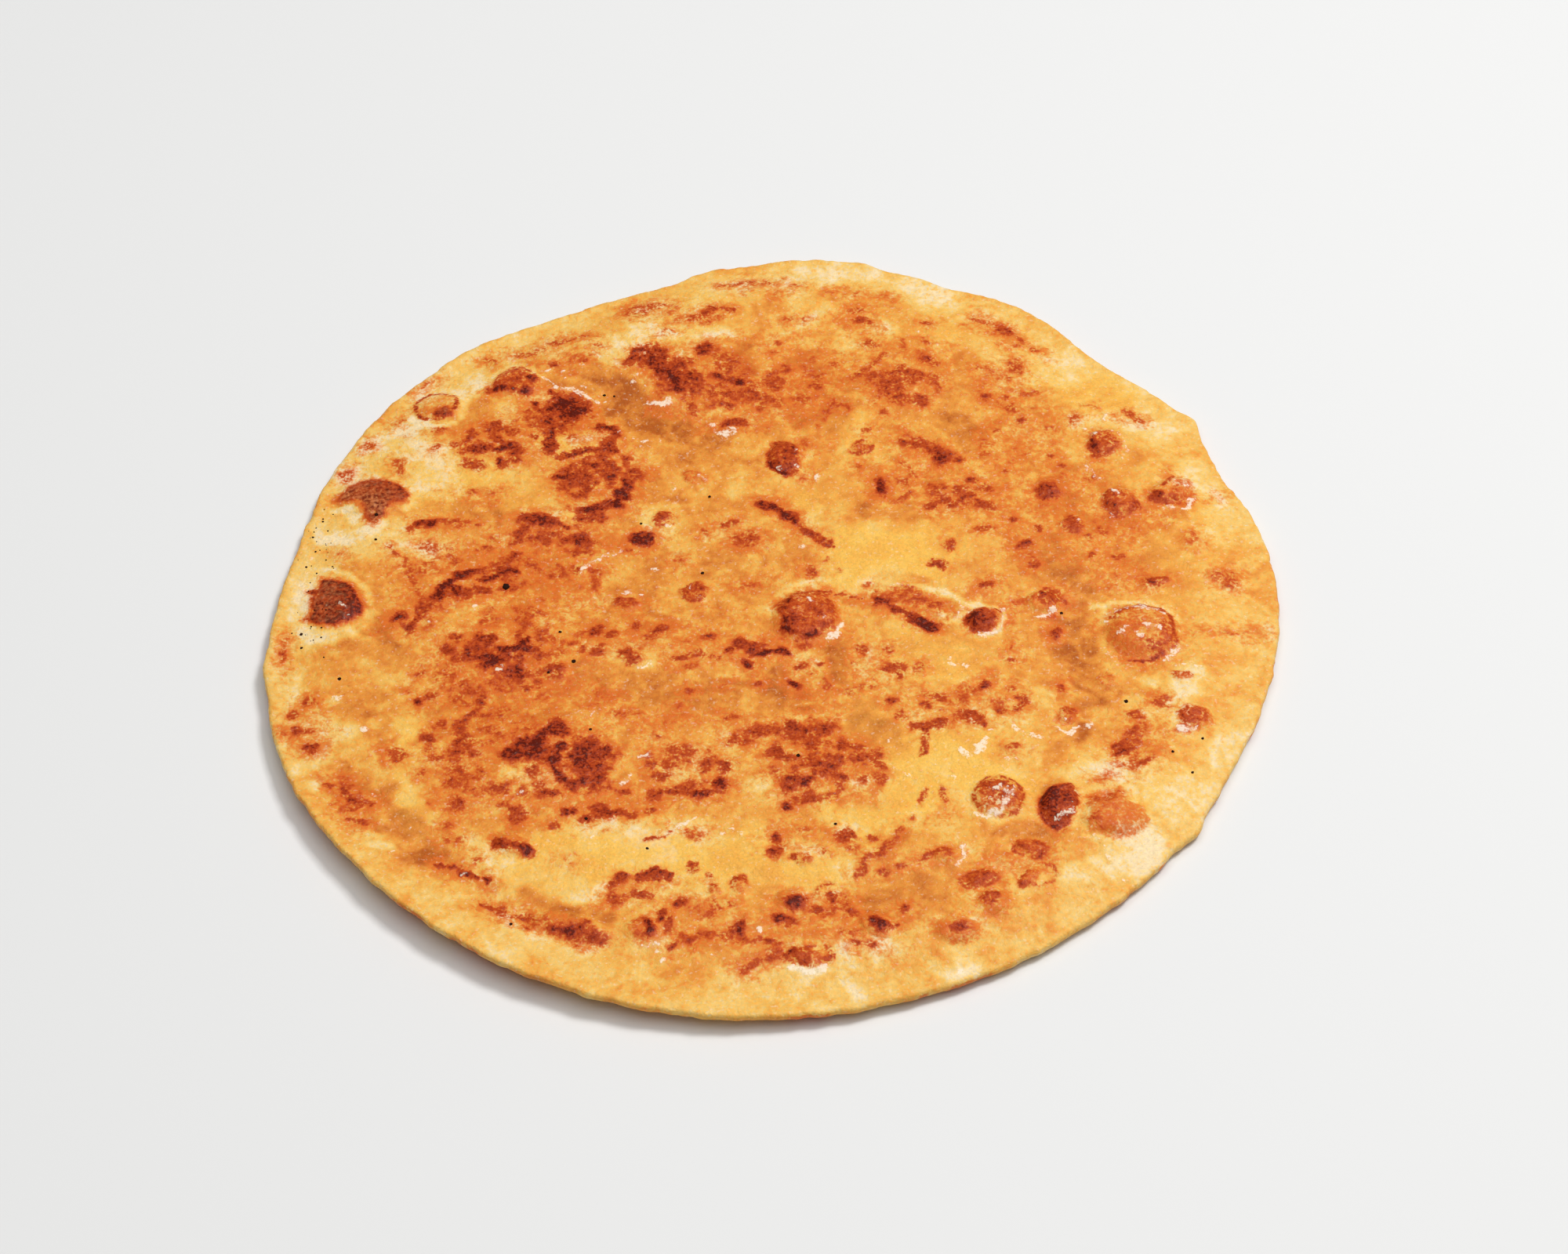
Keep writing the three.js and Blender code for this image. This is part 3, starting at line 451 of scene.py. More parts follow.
# %% Spots on the right half
SPOTS_RIGHT = [
    # middle
    (0.8, -13.2, 1.1, 0.9, 0, .98), (4.5, -17.6, 1.5, 0.8, 0, .60), (7.5, -17.2, 0.8, 0.8, 0, .60),
    (6.8, -19.3, 0.5, 0.5, 0, .55), (3.2, -21.5, 1.1, 1.0, 0, .95), (8.8, -22, 1.2, 1.0, 0, .50),
    (3, -32, 2.0, 1.6, 0, .64), (8.8, -31.7, 1.1, 1.0, 0, .64), (5.5, -34.5, 1.8, 1.3, 0, .60),
    (14.5, -37.3, 1.4, 1.2, 0, .66), (12, -37, 1.4, 1.1, 0, .66), (17.5, -38.8, 1.4, 1.1, 0, .60),
    (9.5, -42.5, 1.5, 1.2, 0, .74), (11, -44, 1.4, 1.2, 0, .70), (5, -45, 1.2, 1.8, 0, .95),
    (3, -44, 1.6, 1.3, 0, .74), (2.5, -46.5, 2.0, 1.4, 0, .74), (18.6, -45, 1.2, 2.0, 0, .55),
    (1.7, -50, 1.1, 1.1, 0, .92), (5.5, -49, 2.6, 1.0, 0, .60), (16.2, -13.5, 1.3, 1.1, 0, .50),
    (21, -13.8, 1.3, 1.2, 0, .50), (14.3, -16, 0.7, 0.7, 0, .50), (21.2, -18.2, 1.2, 1.2, 0, .58),
    (22.5, -20, 1.3, 1.0, 0, .50), (26.5, -17.7, 1.3, 1.0, 0, .48), (20.8, -26.5, 1.3, 1.0, 0, .66),
    (23, -29.5, 1.5, 1.2, 0, .55), (30.5, -26, 1.6, 1.0, 0, .56), (28, -27.7, 0.9, 0.8, 0, .56),
    (35.5, -29.5, 2.0, 1.2, 0, .60), (38.3, -31.8, 1.3, 0.9, 0, .60), (42, -28.8, 1.5, 1.3, 0, .55),
    (45, -27.5, 1.2, 2.0, 0, .56), (44.3, -25.5, 1.1, 0.9, 0, .50), (44.2, -23.3, 1.0, 0.9, 0, .50),
    (44.8, -13.6, 0.6, 0.6, 0, .50), (45, -16.2, 1.0, 0.7, 0, .50), (38.3, -22.7, 1.6, 0.8, 50, .92),
    (52.5, -10.2, 1.0, 1.3, 0, .74), (53, -23.4, 1.0, 1.0, 0, .60), (72, -27.5, 1.8, 1.6, 0, .42),
    (63, -38.4, 1.2, 1.0, 0, .60), (66.2, -34.6, 1.3, 1.0, 30, .52),
    # near
    (2.3, -72, 2.3, 1.6, 0, .96), (-0.5, -76, 1.8, 1.2, 0, .80), (9, -71.7, 1.3, 1.2, 0, .62),
    (10, -72.5, 3.0, 2.2, 0, .36), (6, -74.7, 1.5, 1.1, 0, .60), (12, -75, 1.5, 1.1, 0, .58),
    (1.5, -77.5, 1.4, 1.0, 0, .60), (16.8, -77.8, 1.8, 1.7, 0, .96), (19.4, -77.5, 1.4, 0.7, 0, .60),
    (21.8, -74.8, 1.4, 1.1, 0, .58), (13, -81.3, 1.3, 0.9, 0, .62), (15.5, -81.5, 1.3, 0.9, 0, .55),
    (-0.5, -57.5, 0.9, 1.8, 0, .80), (-1, -60.5, 1.7, 0.9, 0, .74), (11.7, -57.7, 2.0, 1.6, 0, .66),
    (17.2, -58, 1.6, 1.2, 0, .50), (4, -56.3, 2.0, 1.5, 0, .32), (7.3, -61.5, 1.5, 1.1, 0, .36),
    (26.5, -50, 1.2, 1.0, 0, .34), (30, -50, 1.2, 1.0, 0, .34), (24.5, -53.8, 1.2, 1.0, 0, .32),
    (18, -66.2, 1.3, 1.0, 0, .48), (21.3, -65, 1.3, 1.0, 0, .48), (36, -68.2, 2.5, 1.5, 15, .56),
    (37.5, -73, 2.2, 1.8, 0, .62), (43, -38.5, 1.7, 1.2, 0, .40),
    # far
    (17.5, 78.5, 1.6, 1.1, 0, .50), (18.5, 74.8, 3.0, 1.2, -20, .62), (31.7, 74.2, 1.3, 1.0, 0, .50),
    (30.7, 68.5, 1.3, 1.0, 0, .45), (20.3, 67.5, 1.8, 1.1, 0, .45), (22.5, 65, 1.4, 1.0, 0, .40),
    (31.8, 63.3, 1.7, 1.5, 0, .60), (33.5, 61.8, 1.3, 1.1, 0, .50), (25.5, 61, 1.6, 1.2, 0, .50),
    (27.8, 59.3, 1.6, 1.2, 0, .50), (21, 57.5, 1.6, 1.2, 0, .46), (24.5, 55.5, 3.0, 2.0, 0, .50),
    (28, 57, 1.6, 1.2, 0, .55), (29.5, 52, 2.3, 2.0, 0, .66), (47.3, 72.3, 2.5, 2.0, -40, .60),
    (50.5, 69.5, 1.5, 1.0, -40, .50), (54, 67, 1.5, 0.9, -40, .42), (49, 61.8, 2.0, 2.2, 0, .44),
    (42, 61, 1.3, 1.0, 0, .46), (43.3, 53.3, 1.4, 1.3, 0, .62), (47, 52.5, 1.2, 1.0, 0, .45),
    (47.5, 50, 1.2, 1.0, 0, .45), (51.5, 53.5, 3.0, 1.5, 0, .36), (32.5, 58.5, 1.3, 1.0, 0, .45),
    (1.5, 58.5, 1.5, 1.3, 0, .56), (1, 56.5, 1.4, 1.1, 0, .56), (5.5, 53, 2.5, 1.6, 0, .40),
    (1.5, 69, 1.3, 1.0, 0, .45), (0, 66, 1.4, 1.1, 0, .45), (7.5, 63, 2.0, 3.0, 0, .34),
    (13, 62.5, 1.5, 1.2, 0, .36), (0, 87, 1.5, 1.0, 0, .36), (4.5, 86, 1.5, 1.0, 0, .34),
    (1.5, 83, 1.5, 1.0, 0, .34), (3.7, 76, 1.5, 1.0, 0, .34), (6.3, 76, 1.5, 1.0, 0, .34),
    (13, 84.5, 1.6, 1.0, 0, .30), (17.5, 83.3, 1.6, 1.0, 0, .30), (23, 82.5, 1.6, 1.0, 0, .28),
    # right
    (20.7, 28.8, 1.7, 2.8, 0, .92), (9.8, 9.8, 1.2, 0.9, 0, .36), (6.5, 6.3, 1.5, 1.7, 0, .50),
    (12, 6.5, 1.2, 0.9, 0, .36), (17.3, 3.1, 1.1, 0.9, 0, .40), (18.2, 44.3, 1.3, 1.0, 0, .45),
    (16.8, 34, 1.2, 1.0, 0, .40), (22.5, 48.5, 1.4, 1.1, 0, .40), (33, 37, 1.8, 2.2, 0, .88),
    (32.5, 35, 1.3, 1.1, 0, .66), (36, 35.5, 1.4, 1.1, 0, .55), (38.5, 29.3, 1.6, 1.1, 0, .60),
    (41, 27, 2.0, 1.1, 0, .62), (36.5, 27, 1.6, 1.2, 0, .62), (33, 25, 1.6, 1.2, 0, .62),
    (30.5, 23.5, 1.5, 1.5, 0, .58), (35, 23.5, 1.6, 1.2, 0, .58), (41, 23, 2.5, 1.5, 0, .58),
    (33.3, 12.3, 1.7, 1.3, 0, .55), (31.3, 7.3, 1.8, 1.3, 0, .60), (41, 16.8, 2.5, 0.8, 0, .50),
    (40.5, 1.5, 1.6, 1.1, 30, .66), (46.2, 18.8, 0.9, 1.3, 0, .66), (48, 12.3, 2.0, 1.4, 0, .66),
    (49.5, 7.3, 1.6, 1.7, 0, .60), (44.3, 43.4, 1.0, 0.9, 0, .50), (46, 31.8, 1.2, 1.0, 0, .45),
    (50, 47, 1.2, 1.1, 0, .46), (60, 46, 1.2, 2.0, 0, .45), (55, 44.5, 1.3, 1.0, 0, .40),
    (54.8, 36.5, 1.0, 0.9, 0, .62), (56.7, 33.4, 1.1, 0.9, 0, .50), (53.8, 26.8, 2.5, 2.3, 0, .70),
    (62.5, 30, 1.8, 1.4, 0, .32), (58, 17.2, 2.2, 3.0, 0, .60), (51.5, 16.8, 1.2, 1.0, 0, .50),
    (60.7, 9.8, 1.3, 1.2, 0, .56), (66, 8.8, 1.3, 1.0, 0, .50), (63.8, 16, 1.2, 1.0, 0, .45),
    (61.2, 14, 1.2, 1.0, 0, .45), (81.2, 13.4, 2.1, 1.9, 0, .30), (86.8, 25, 1.5, 1.2, 0, .16),
    (72.6, 2.5, 2.5, 1.6, 25, .62), (86.5, 3, 3.1, 2.6, 20, .36), (86.5, -10, 4.0, 0.8, 0, .28),
    # on the blisters of the right half
    (2, -7.3, 1.9, 1.6, 40, .84), (6, -9.6, 1.6, 0.9, 0, .80), (1.6, -2.4, 1.2, 1.3, 0, .80),
    (37.6, -7, 1.4, 1.9, 0, .98), (57.5, -55.5, 1.2, 1.2, 0, .42), (61.3, -50.6, 1.0, 1.6, -30, .44),
    (74.8, 24, 1.6, 1.4, 0, .86), (31, -78, 2.1, 1.0, 0, .86), (66.2, 21.6, 1.0, 0.9, 0, .64),
    (70.3, 21.8, 1.0, 1.1, 0, .56), (64, 39, 0.9, 2.0, 0, .86), (50, -53, 1.2, 1.4, 0, .92),
    # red patches near the middle
    (4, -33.5, 3.2, 2.4, 0, .62), (6, -36.2, 2.2, 1.6, 0, .60), (2.4, -44.6, 2.8, 2.2, 0, .62),
    (9.5, -40, 2.6, 1.3, 0, .60), (15.2, -40.6, 2.6, 1.0, 0, .50), (11, -46.2, 1.1, 2.6, 0, .46),
    (18, -45.6, 1.1, 2.4, 0, .44), (7.5, -48.6, 4, 1.1, 0, .44), (36, -30.4, 2.8, 1.7, 0, .56),
    (22, -18.3, 2.6, 1.5, 0, .48), (13.6, -23.6, 1.5, 1.4, 0, .44), (26.5, -49.5, 0.8, 2.4, 0, .40),
    (30, -49, 0.7, 2.4, 0, .42), (29.5, -25.3, 2.6, 1.4, -10, .42), (17, -22.5, 2.4, 1.2, 0, .34),
]

# %% Lay down the spots
BLUSH_MM = 3.2           # how far the orange spreads out of a mark
for x, y, half_long, half_wide, turn, tone in SPOTS_LEFT + SPOTS_RIGHT:
    edge = oval(bent_x, bent_y, x, y, half_long, half_wide, turn)
    toast = add_tone(toast, tone * smooth((1.45 - edge) / 1.0))
    spread = np.maximum(0.0, edge - 1.0) * min(half_long, half_wide) / BLUSH_MM
    blush = np.maximum(blush, (0.35 + 0.65 * tone) * smooth(1.0 - spread))
print("spots:", len(SPOTS_LEFT) + len(SPOTS_RIGHT))

# %% [markdown]
# ### Streaks
# Where the skin rose in a fold, only the top of the fold touched the iron. That leaves thin, bent
# streaks. Each is a line of points with a half width and a tone.

# %% Streaks: half width, tone, then the points of the line
STREAKS = [
    (0.9, .88, (-66, 1), (-63.5, 4.5), (-60.5, 7.5), (-58, 9)),
    (1.0, .85, (-57, 6.5), (-54, 8), (-51, 8.5)), (0.7, .44, (-72, 20), (-67, 21.2), (-60, 21.7)),
    (0.8, .88, (-52, -12), (-49, -11.5), (-47, -9.5)), (0.9, .93, (-4.5, -14), (-2, -13.6), (1.5, -13.2)),
    (0.8, .50, (-19.5, -14.3), (-16, -14), (-11, -14.5)),
    (0.9, .98, (-40, -36), (-41, -39), (-41.3, -42), (-40.3, -43.5)),
    (1.0, .68, (-22, -47), (-15, -47.5), (-10.5, -45.5)), (1.0, .60, (-1.5, -38.5), (3, -39.8), (7, -38.8)),
    (0.9, .50, (13, -39.6), (17, -40.6), (19, -42)), (1.0, .66, (-36, -53.5), (-31, -52), (-27, -52)),
    (0.9, .62, (25, -32.9), (27, -33.4), (30.8, -31.6)),
    (0.8, .52, (27.2, -33.8), (27, -36), (26.3, -38.6)),
    (0.8, .55, (-16.5, -80.8), (-12.5, -79.2), (-9, -80)), (0.8, .55, (-5, -85), (-7.5, -87)),
    (1.1, .70, (-25, -65.5), (-20.5, -65.6)), (0.9, .55, (-27, -70), (-24, -70.5)),
    (0.6, .55, (25, -64), (29, -61.2)), (0.8, .46, (22, -57), (20.5, -59.5), (17, -62.5), (13, -66.5)),
    (1.3, .60, (-27, 67), (-26, 64)), (1.4, .82, (-24, 64), (-22, 60), (-19, 57)),
    (1.0, .80, (-8, 59), (-6.5, 57.5)), (0.8, .60, (-11, 46.3), (-8, 46.8), (-5, 47.2)),
    (0.8, .40, (-41, 72), (-37.5, 72.5)), (0.9, .40, (-22, 82), (-24, 81)),
    (1.0, .46, (-17.5, 76), (-12.5, 78.5), (-8, 79)), (1.0, .40, (-10.5, 87), (-6, 87.8), (-2, 87.5)),
    (1.0, .80, (-44.3, 45.5), (-44, 41)), (0.9, .74, (-35, 46), (-32, 45), (-31.5, 42), (-32, 39)),
    (0.9, .70, (-32, 39), (-38, 39.5), (-42, 38.5)), (0.8, .80, (-43, 33), (-40, 32.7)),
    (1.1, .84, (-28.5, 31), (-30, 28), (-31.5, 25), (-34, 23.3), (-38.5, 24)),
    (1.2, .93, (-1.5, 24.5), (0.8, 23), (2.5, 21.5), (3.5, 19.5)),
    (1.1, .62, (3.5, 19.5), (6, 16.5), (9, 14.5), (11.5, 12.5)),
    (1.2, .60, (26, 41), (31, 38.5), (33.5, 36.5)), (0.8, .40, (25, 35), (28, 31)),
    (0.8, .40, (26, 27), (23, 24)), (0.8, .40, (42, 77), (45, 74.5)),
    (0.5, .60, (5.5, 0.7), (11, 0.3), (16.5, -0.8)), (1.1, .78, (19.5, -1.6), (21.5, -2)),
    (1.0, .84, (22.5, -4), (26, -5.5), (29, -7.3)), (0.9, .98, (28, -7.1), (30, -7.8)),
    (0.9, .46, (25.5, 0.5), (28, -0.5), (31, -2.5)), (0.9, .40, (70.5, 48.5), (73, 46)),
    (0.7, .60, (-84, -43), (-82.5, -43.7)), (0.8, .60, (-79.5, -44.5), (-78.5, -47), (-75, -48.5)),
    (0.7, .55, (-78, -52), (-76.5, -53.8)), (0.9, .56, (-53.5, -71.5), (-49, -73.5), (-44.5, -75.5)),
    (0.5, .50, (-24.5, -57.5), (-19.5, -55.3)), (1.0, .42, (21, 64), (18.5, 61), (16, 58.5)),
    (1.2, .56, (-70, -6.5), (-69, -3.5), (-66.5, -0.5)), (1.3, .84, (-65.5, 1), (-63, 4.5), (-60.5, 7.2)),
    (1.1, .40, (-71, 19.6), (-67, 20.8), (-61.5, 20.2)),
    (0.8, .56, (64.5, -6.5), (66.5, -4.7), (69.5, -4), (72.5, -4.8), (74.4, -7)),
    (0.5, .74, (66, -17), (69.5, -17.4), (73, -15.2)), (0.4, .60, (75, -8), (75.6, -11), (74.8, -14)),
    (0.9, .44, (73.6, -9.5), (73.8, -12), (72.5, -13.6), (70, -13.8)),
    (0.7, .78, (-51, -58), (-48.5, -58.8), (-45, -61)), (0.8, .52, (76.5, 27.5), (78.5, 30.3)),
    (0.8, .40, (-75.5, 15), (-72.5, 12.5), (-71, 9.5)), (0.9, .40, (-71, 9), (-70.5, 5.5), (-69.5, 3)),
    (0.7, .80, (-61.8, -62.4), (-58.5, -64), (-55, -65.2), (-52.6, -66.6)),
]

# %% Lay down the streaks
RAGGED_MM = 1.9                  # how often a streak swells and thins
ragged = 0.40 + 1.2 * hills(X, Y, RAGGED_MM, 31)
for half, tone, *path in STREAKS:
    far = stroke(bent_x, bent_y, path)
    toast = add_tone(toast, tone * smooth((1.55 - far / (half * ragged)) / 1.05))
    blush = np.maximum(blush, (0.35 + 0.65 * tone) * smooth(1.0 - (far - half) / BLUSH_MM))
print("streaks:", len(STREAKS))

# %% [markdown]
# ### Marks with a shape of their own
# Two blisters at the left stood so high that they charred, and others browned in odd shapes. Their
# outlines are no ovals, so each is a closed line of points. The charred ones are dusty brown inside, as
# burnt starch is where the ghee has boiled away, and every mark is darker towards one side.

# %% Shaped marks: tone, tone of the dark side, its heading, dust, then the outline
SHAPED = [
    # the two charred blisters at the left
    (.62, .84, 60, 1.0, (-87.5, 28.6), (-84.5, 31.4), (-81.5, 33.3), (-79, 33.8), (-76.3, 32.8),
     (-74, 31.6), (-71.8, 29.2), (-72.5, 26.5), (-75.3, 25.8), (-76.4, 23), (-78.2, 21), (-80.7, 23),
     (-81.4, 26.3), (-82.6, 27.6), (-85.3, 27.6)),
    (.84, 1.0, -10, .62, (-91.3, 4.6), (-88.2, 5.0), (-88.2, 7.6), (-85.6, 7.1), (-83.1, 6.1),
     (-81, 4.3), (-80.1, 1.9), (-78.9, -0.5), (-79.3, -2.3), (-81.2, -4.1), (-84.4, -5.2),
     (-87.5, -4.9), (-90.7, -3.1), (-89, -1.1), (-89.5, 1.5), (-89, 3.1)),
    # in the ring at the far left
    (.62, .86, -90, .66, (-68.3, 50.2), (-68.2, 52.3), (-66, 53.2), (-64.3, 52.4), (-64.3, 50.6),
     (-66, 49.8)),
    # right: a heart, a wedge and a leaf
    (.40, .66, 200, 0, (64, 26), (66, 26.8), (69, 25.4), (71.4, 22.4), (70.2, 20), (68, 18.9),
     (65.2, 20), (63.7, 23)),
    (.26, .56, 200, 0, (74, 23), (77, 24), (79, 28.8), (81.3, 29.2), (83, 25.4), (81.6, 22.6), (77, 22)),
    (.46, .70, 170, 0, (74.5, -29.6), (76.5, -28.4), (79.5, -29.4), (80.2, -31.4), (76.5, -34.4),
     (73.8, -34.8), (75.2, -32.4)),
    # near right: a long blister, a half-moon and lenses
    (.70, .98, 140, 0, (47.4, -50), (50, -47.8), (53.4, -47.3), (54.8, -51.5), (53, -55), (52, -57.6),
     (50, -57.8), (48, -55.8), (47.2, -52.5)),
    (.20, .40, 190, 0, (56.4, -49.6), (60, -48.8), (62.4, -48), (63.2, -51.8), (66, -53), (67.1, -55.5),
     (65, -58), (62, -59.4), (58.5, -58.7), (56.4, -56), (57, -54), (59, -52.6), (57.2, -51.2)),
    (.40, .68, 215, 0, (61.8, -38.5), (64.5, -34.5), (68.2, -32), (68.8, -34.5), (67.2, -37.5),
     (64.5, -39.8), (62, -40.2)),
    (.46, .60, 90, 0, (65, -29.5), (68, -29.4), (68.6, -31.8), (65.5, -31.5)),
    (.44, .62, 30, 0, (64.4, -43.6), (66.6, -41.6), (69.1, -40.4), (68.5, -42.2), (65, -44.2)),
    (.28, .36, 180, 0, (57.7, -46), (60, -43.8), (62.4, -44.4), (59.5, -46.6)),
    (.30, .58, 90, 0, (51.5, -31.6), (52.4, -29), (53.8, -28), (55.8, -28.3), (56.1, -30.4), (54, -32.6)),
]


def depth_inside(px, py, loop):
    """Millimetres inside a closed line of points, less than 0 outside it."""
    closed = [*loop, loop[0]]
    inside = np.zeros(len(px), dtype=bool)
    for (ax, ay), (bx, by) in zip(closed[:-1], closed[1:]):
        side = (bx - ax) * (py - ay) - (px - ax) * (by - ay)
        inside ^= ((ay > py) != (by > py)) & ((side > 0) == (by > ay))
    return np.where(inside, 1.0, -1.0) * stroke(px, py, closed)


def facing(px, py, x, y, heading, size):
    """From 0 on the far side of a mark to 1 on the side that faces a heading."""
    along = (px - x) * math.cos(math.radians(heading)) + (py - y) * math.sin(math.radians(heading))
    return smooth(0.5 + 0.5 * along / size)


# %% Thin rings round low blisters: x, y, half length, half width, turn, tone, half width of the line
THIN_RINGS = [
    (-67.8, 53.4, 4.1, 3.9, 0, .70, 0.40), (69.4, -10.6, 5.9, 6.4, 0, .22, 0.60),
    (17.4, 39.4, 2.2, 1.6, 40, .50, 0.40), (40, -7, 3.4, 3.2, 0, .40, 0.40),
    (46.4, -67.3, 3.0, 2.2, 30, .44, 0.40), (35.4, -68.3, 3.2, 1.7, 10, .50, 0.45),
    (4.8, -84, 3.9, 1.9, 5, .46, 0.40), (-51.6, 59.8, 4.0, 4.0, 0, .50, 0.45),
    (40, -49.6, 4.6, 4.6, 0, .46, 0.50), (44.9, -61.3, 2.8, 1.7, 0, .50, 0.40),
]

# %% Lay down the shaped marks
LUMP_WIDE, LUMP_FINE = 2.4, 1.2
TEAR_MM, TEAR_FAR = 0.9, 0.25
lumpy = 0.5 * hills(X, Y, LUMP_WIDE, 51) + 0.5 * hills(X, Y, LUMP_FINE, 52)
dust = np.zeros(len(X))
torn_x = X + 0.35 * (bent_x - X) + TEAR_FAR * swing(X, Y, TEAR_MM, 53)
torn_y = Y + 0.35 * (bent_y - Y) + TEAR_FAR * swing(X, Y, TEAR_MM, 54)
for tone, dark_tone, dark_side, dusty_share, *loop in SHAPED:
    depth = depth_inside(torn_x, torn_y, loop)
    middle = np.mean(loop, axis=0)
    size = max(np.ptp(loop, axis=0)) / 2.0
    shade = facing(X, Y, middle[0], middle[1], dark_side, size) ** 2
    deep = (tone + (dark_tone - tone) * shade) * (0.84 + 0.32 * lumpy)
    toast = add_tone(toast, deep * smooth((depth + 0.5) / (0.9 + 0.6 * dusty_share)))
    dusty = dusty_share * (1.0 - shade) * (0.30 + 0.90 * lumpy)
    dust = np.maximum(dust, dusty * smooth((depth - 0.3) / 1.1))
    blush = np.maximum(blush, 0.9 * smooth((depth + 1.3) / 1.3))
for x, y, half_long, half_wide, turn, tone, thin in THIN_RINGS:
    off_line = (oval(torn_x, torn_y, x, y, half_long, half_wide, turn) - 1.0) * min(half_long, half_wide)
    toast = add_tone(toast, tone * (0.55 + 0.9 * lumpy) * bell(off_line / thin))
    blush = np.maximum(blush, 0.8 * tone * bell(off_line / (2.0 * thin)))
print("shaped marks:", len(SHAPED), "thin rings:", len(THIN_RINGS))
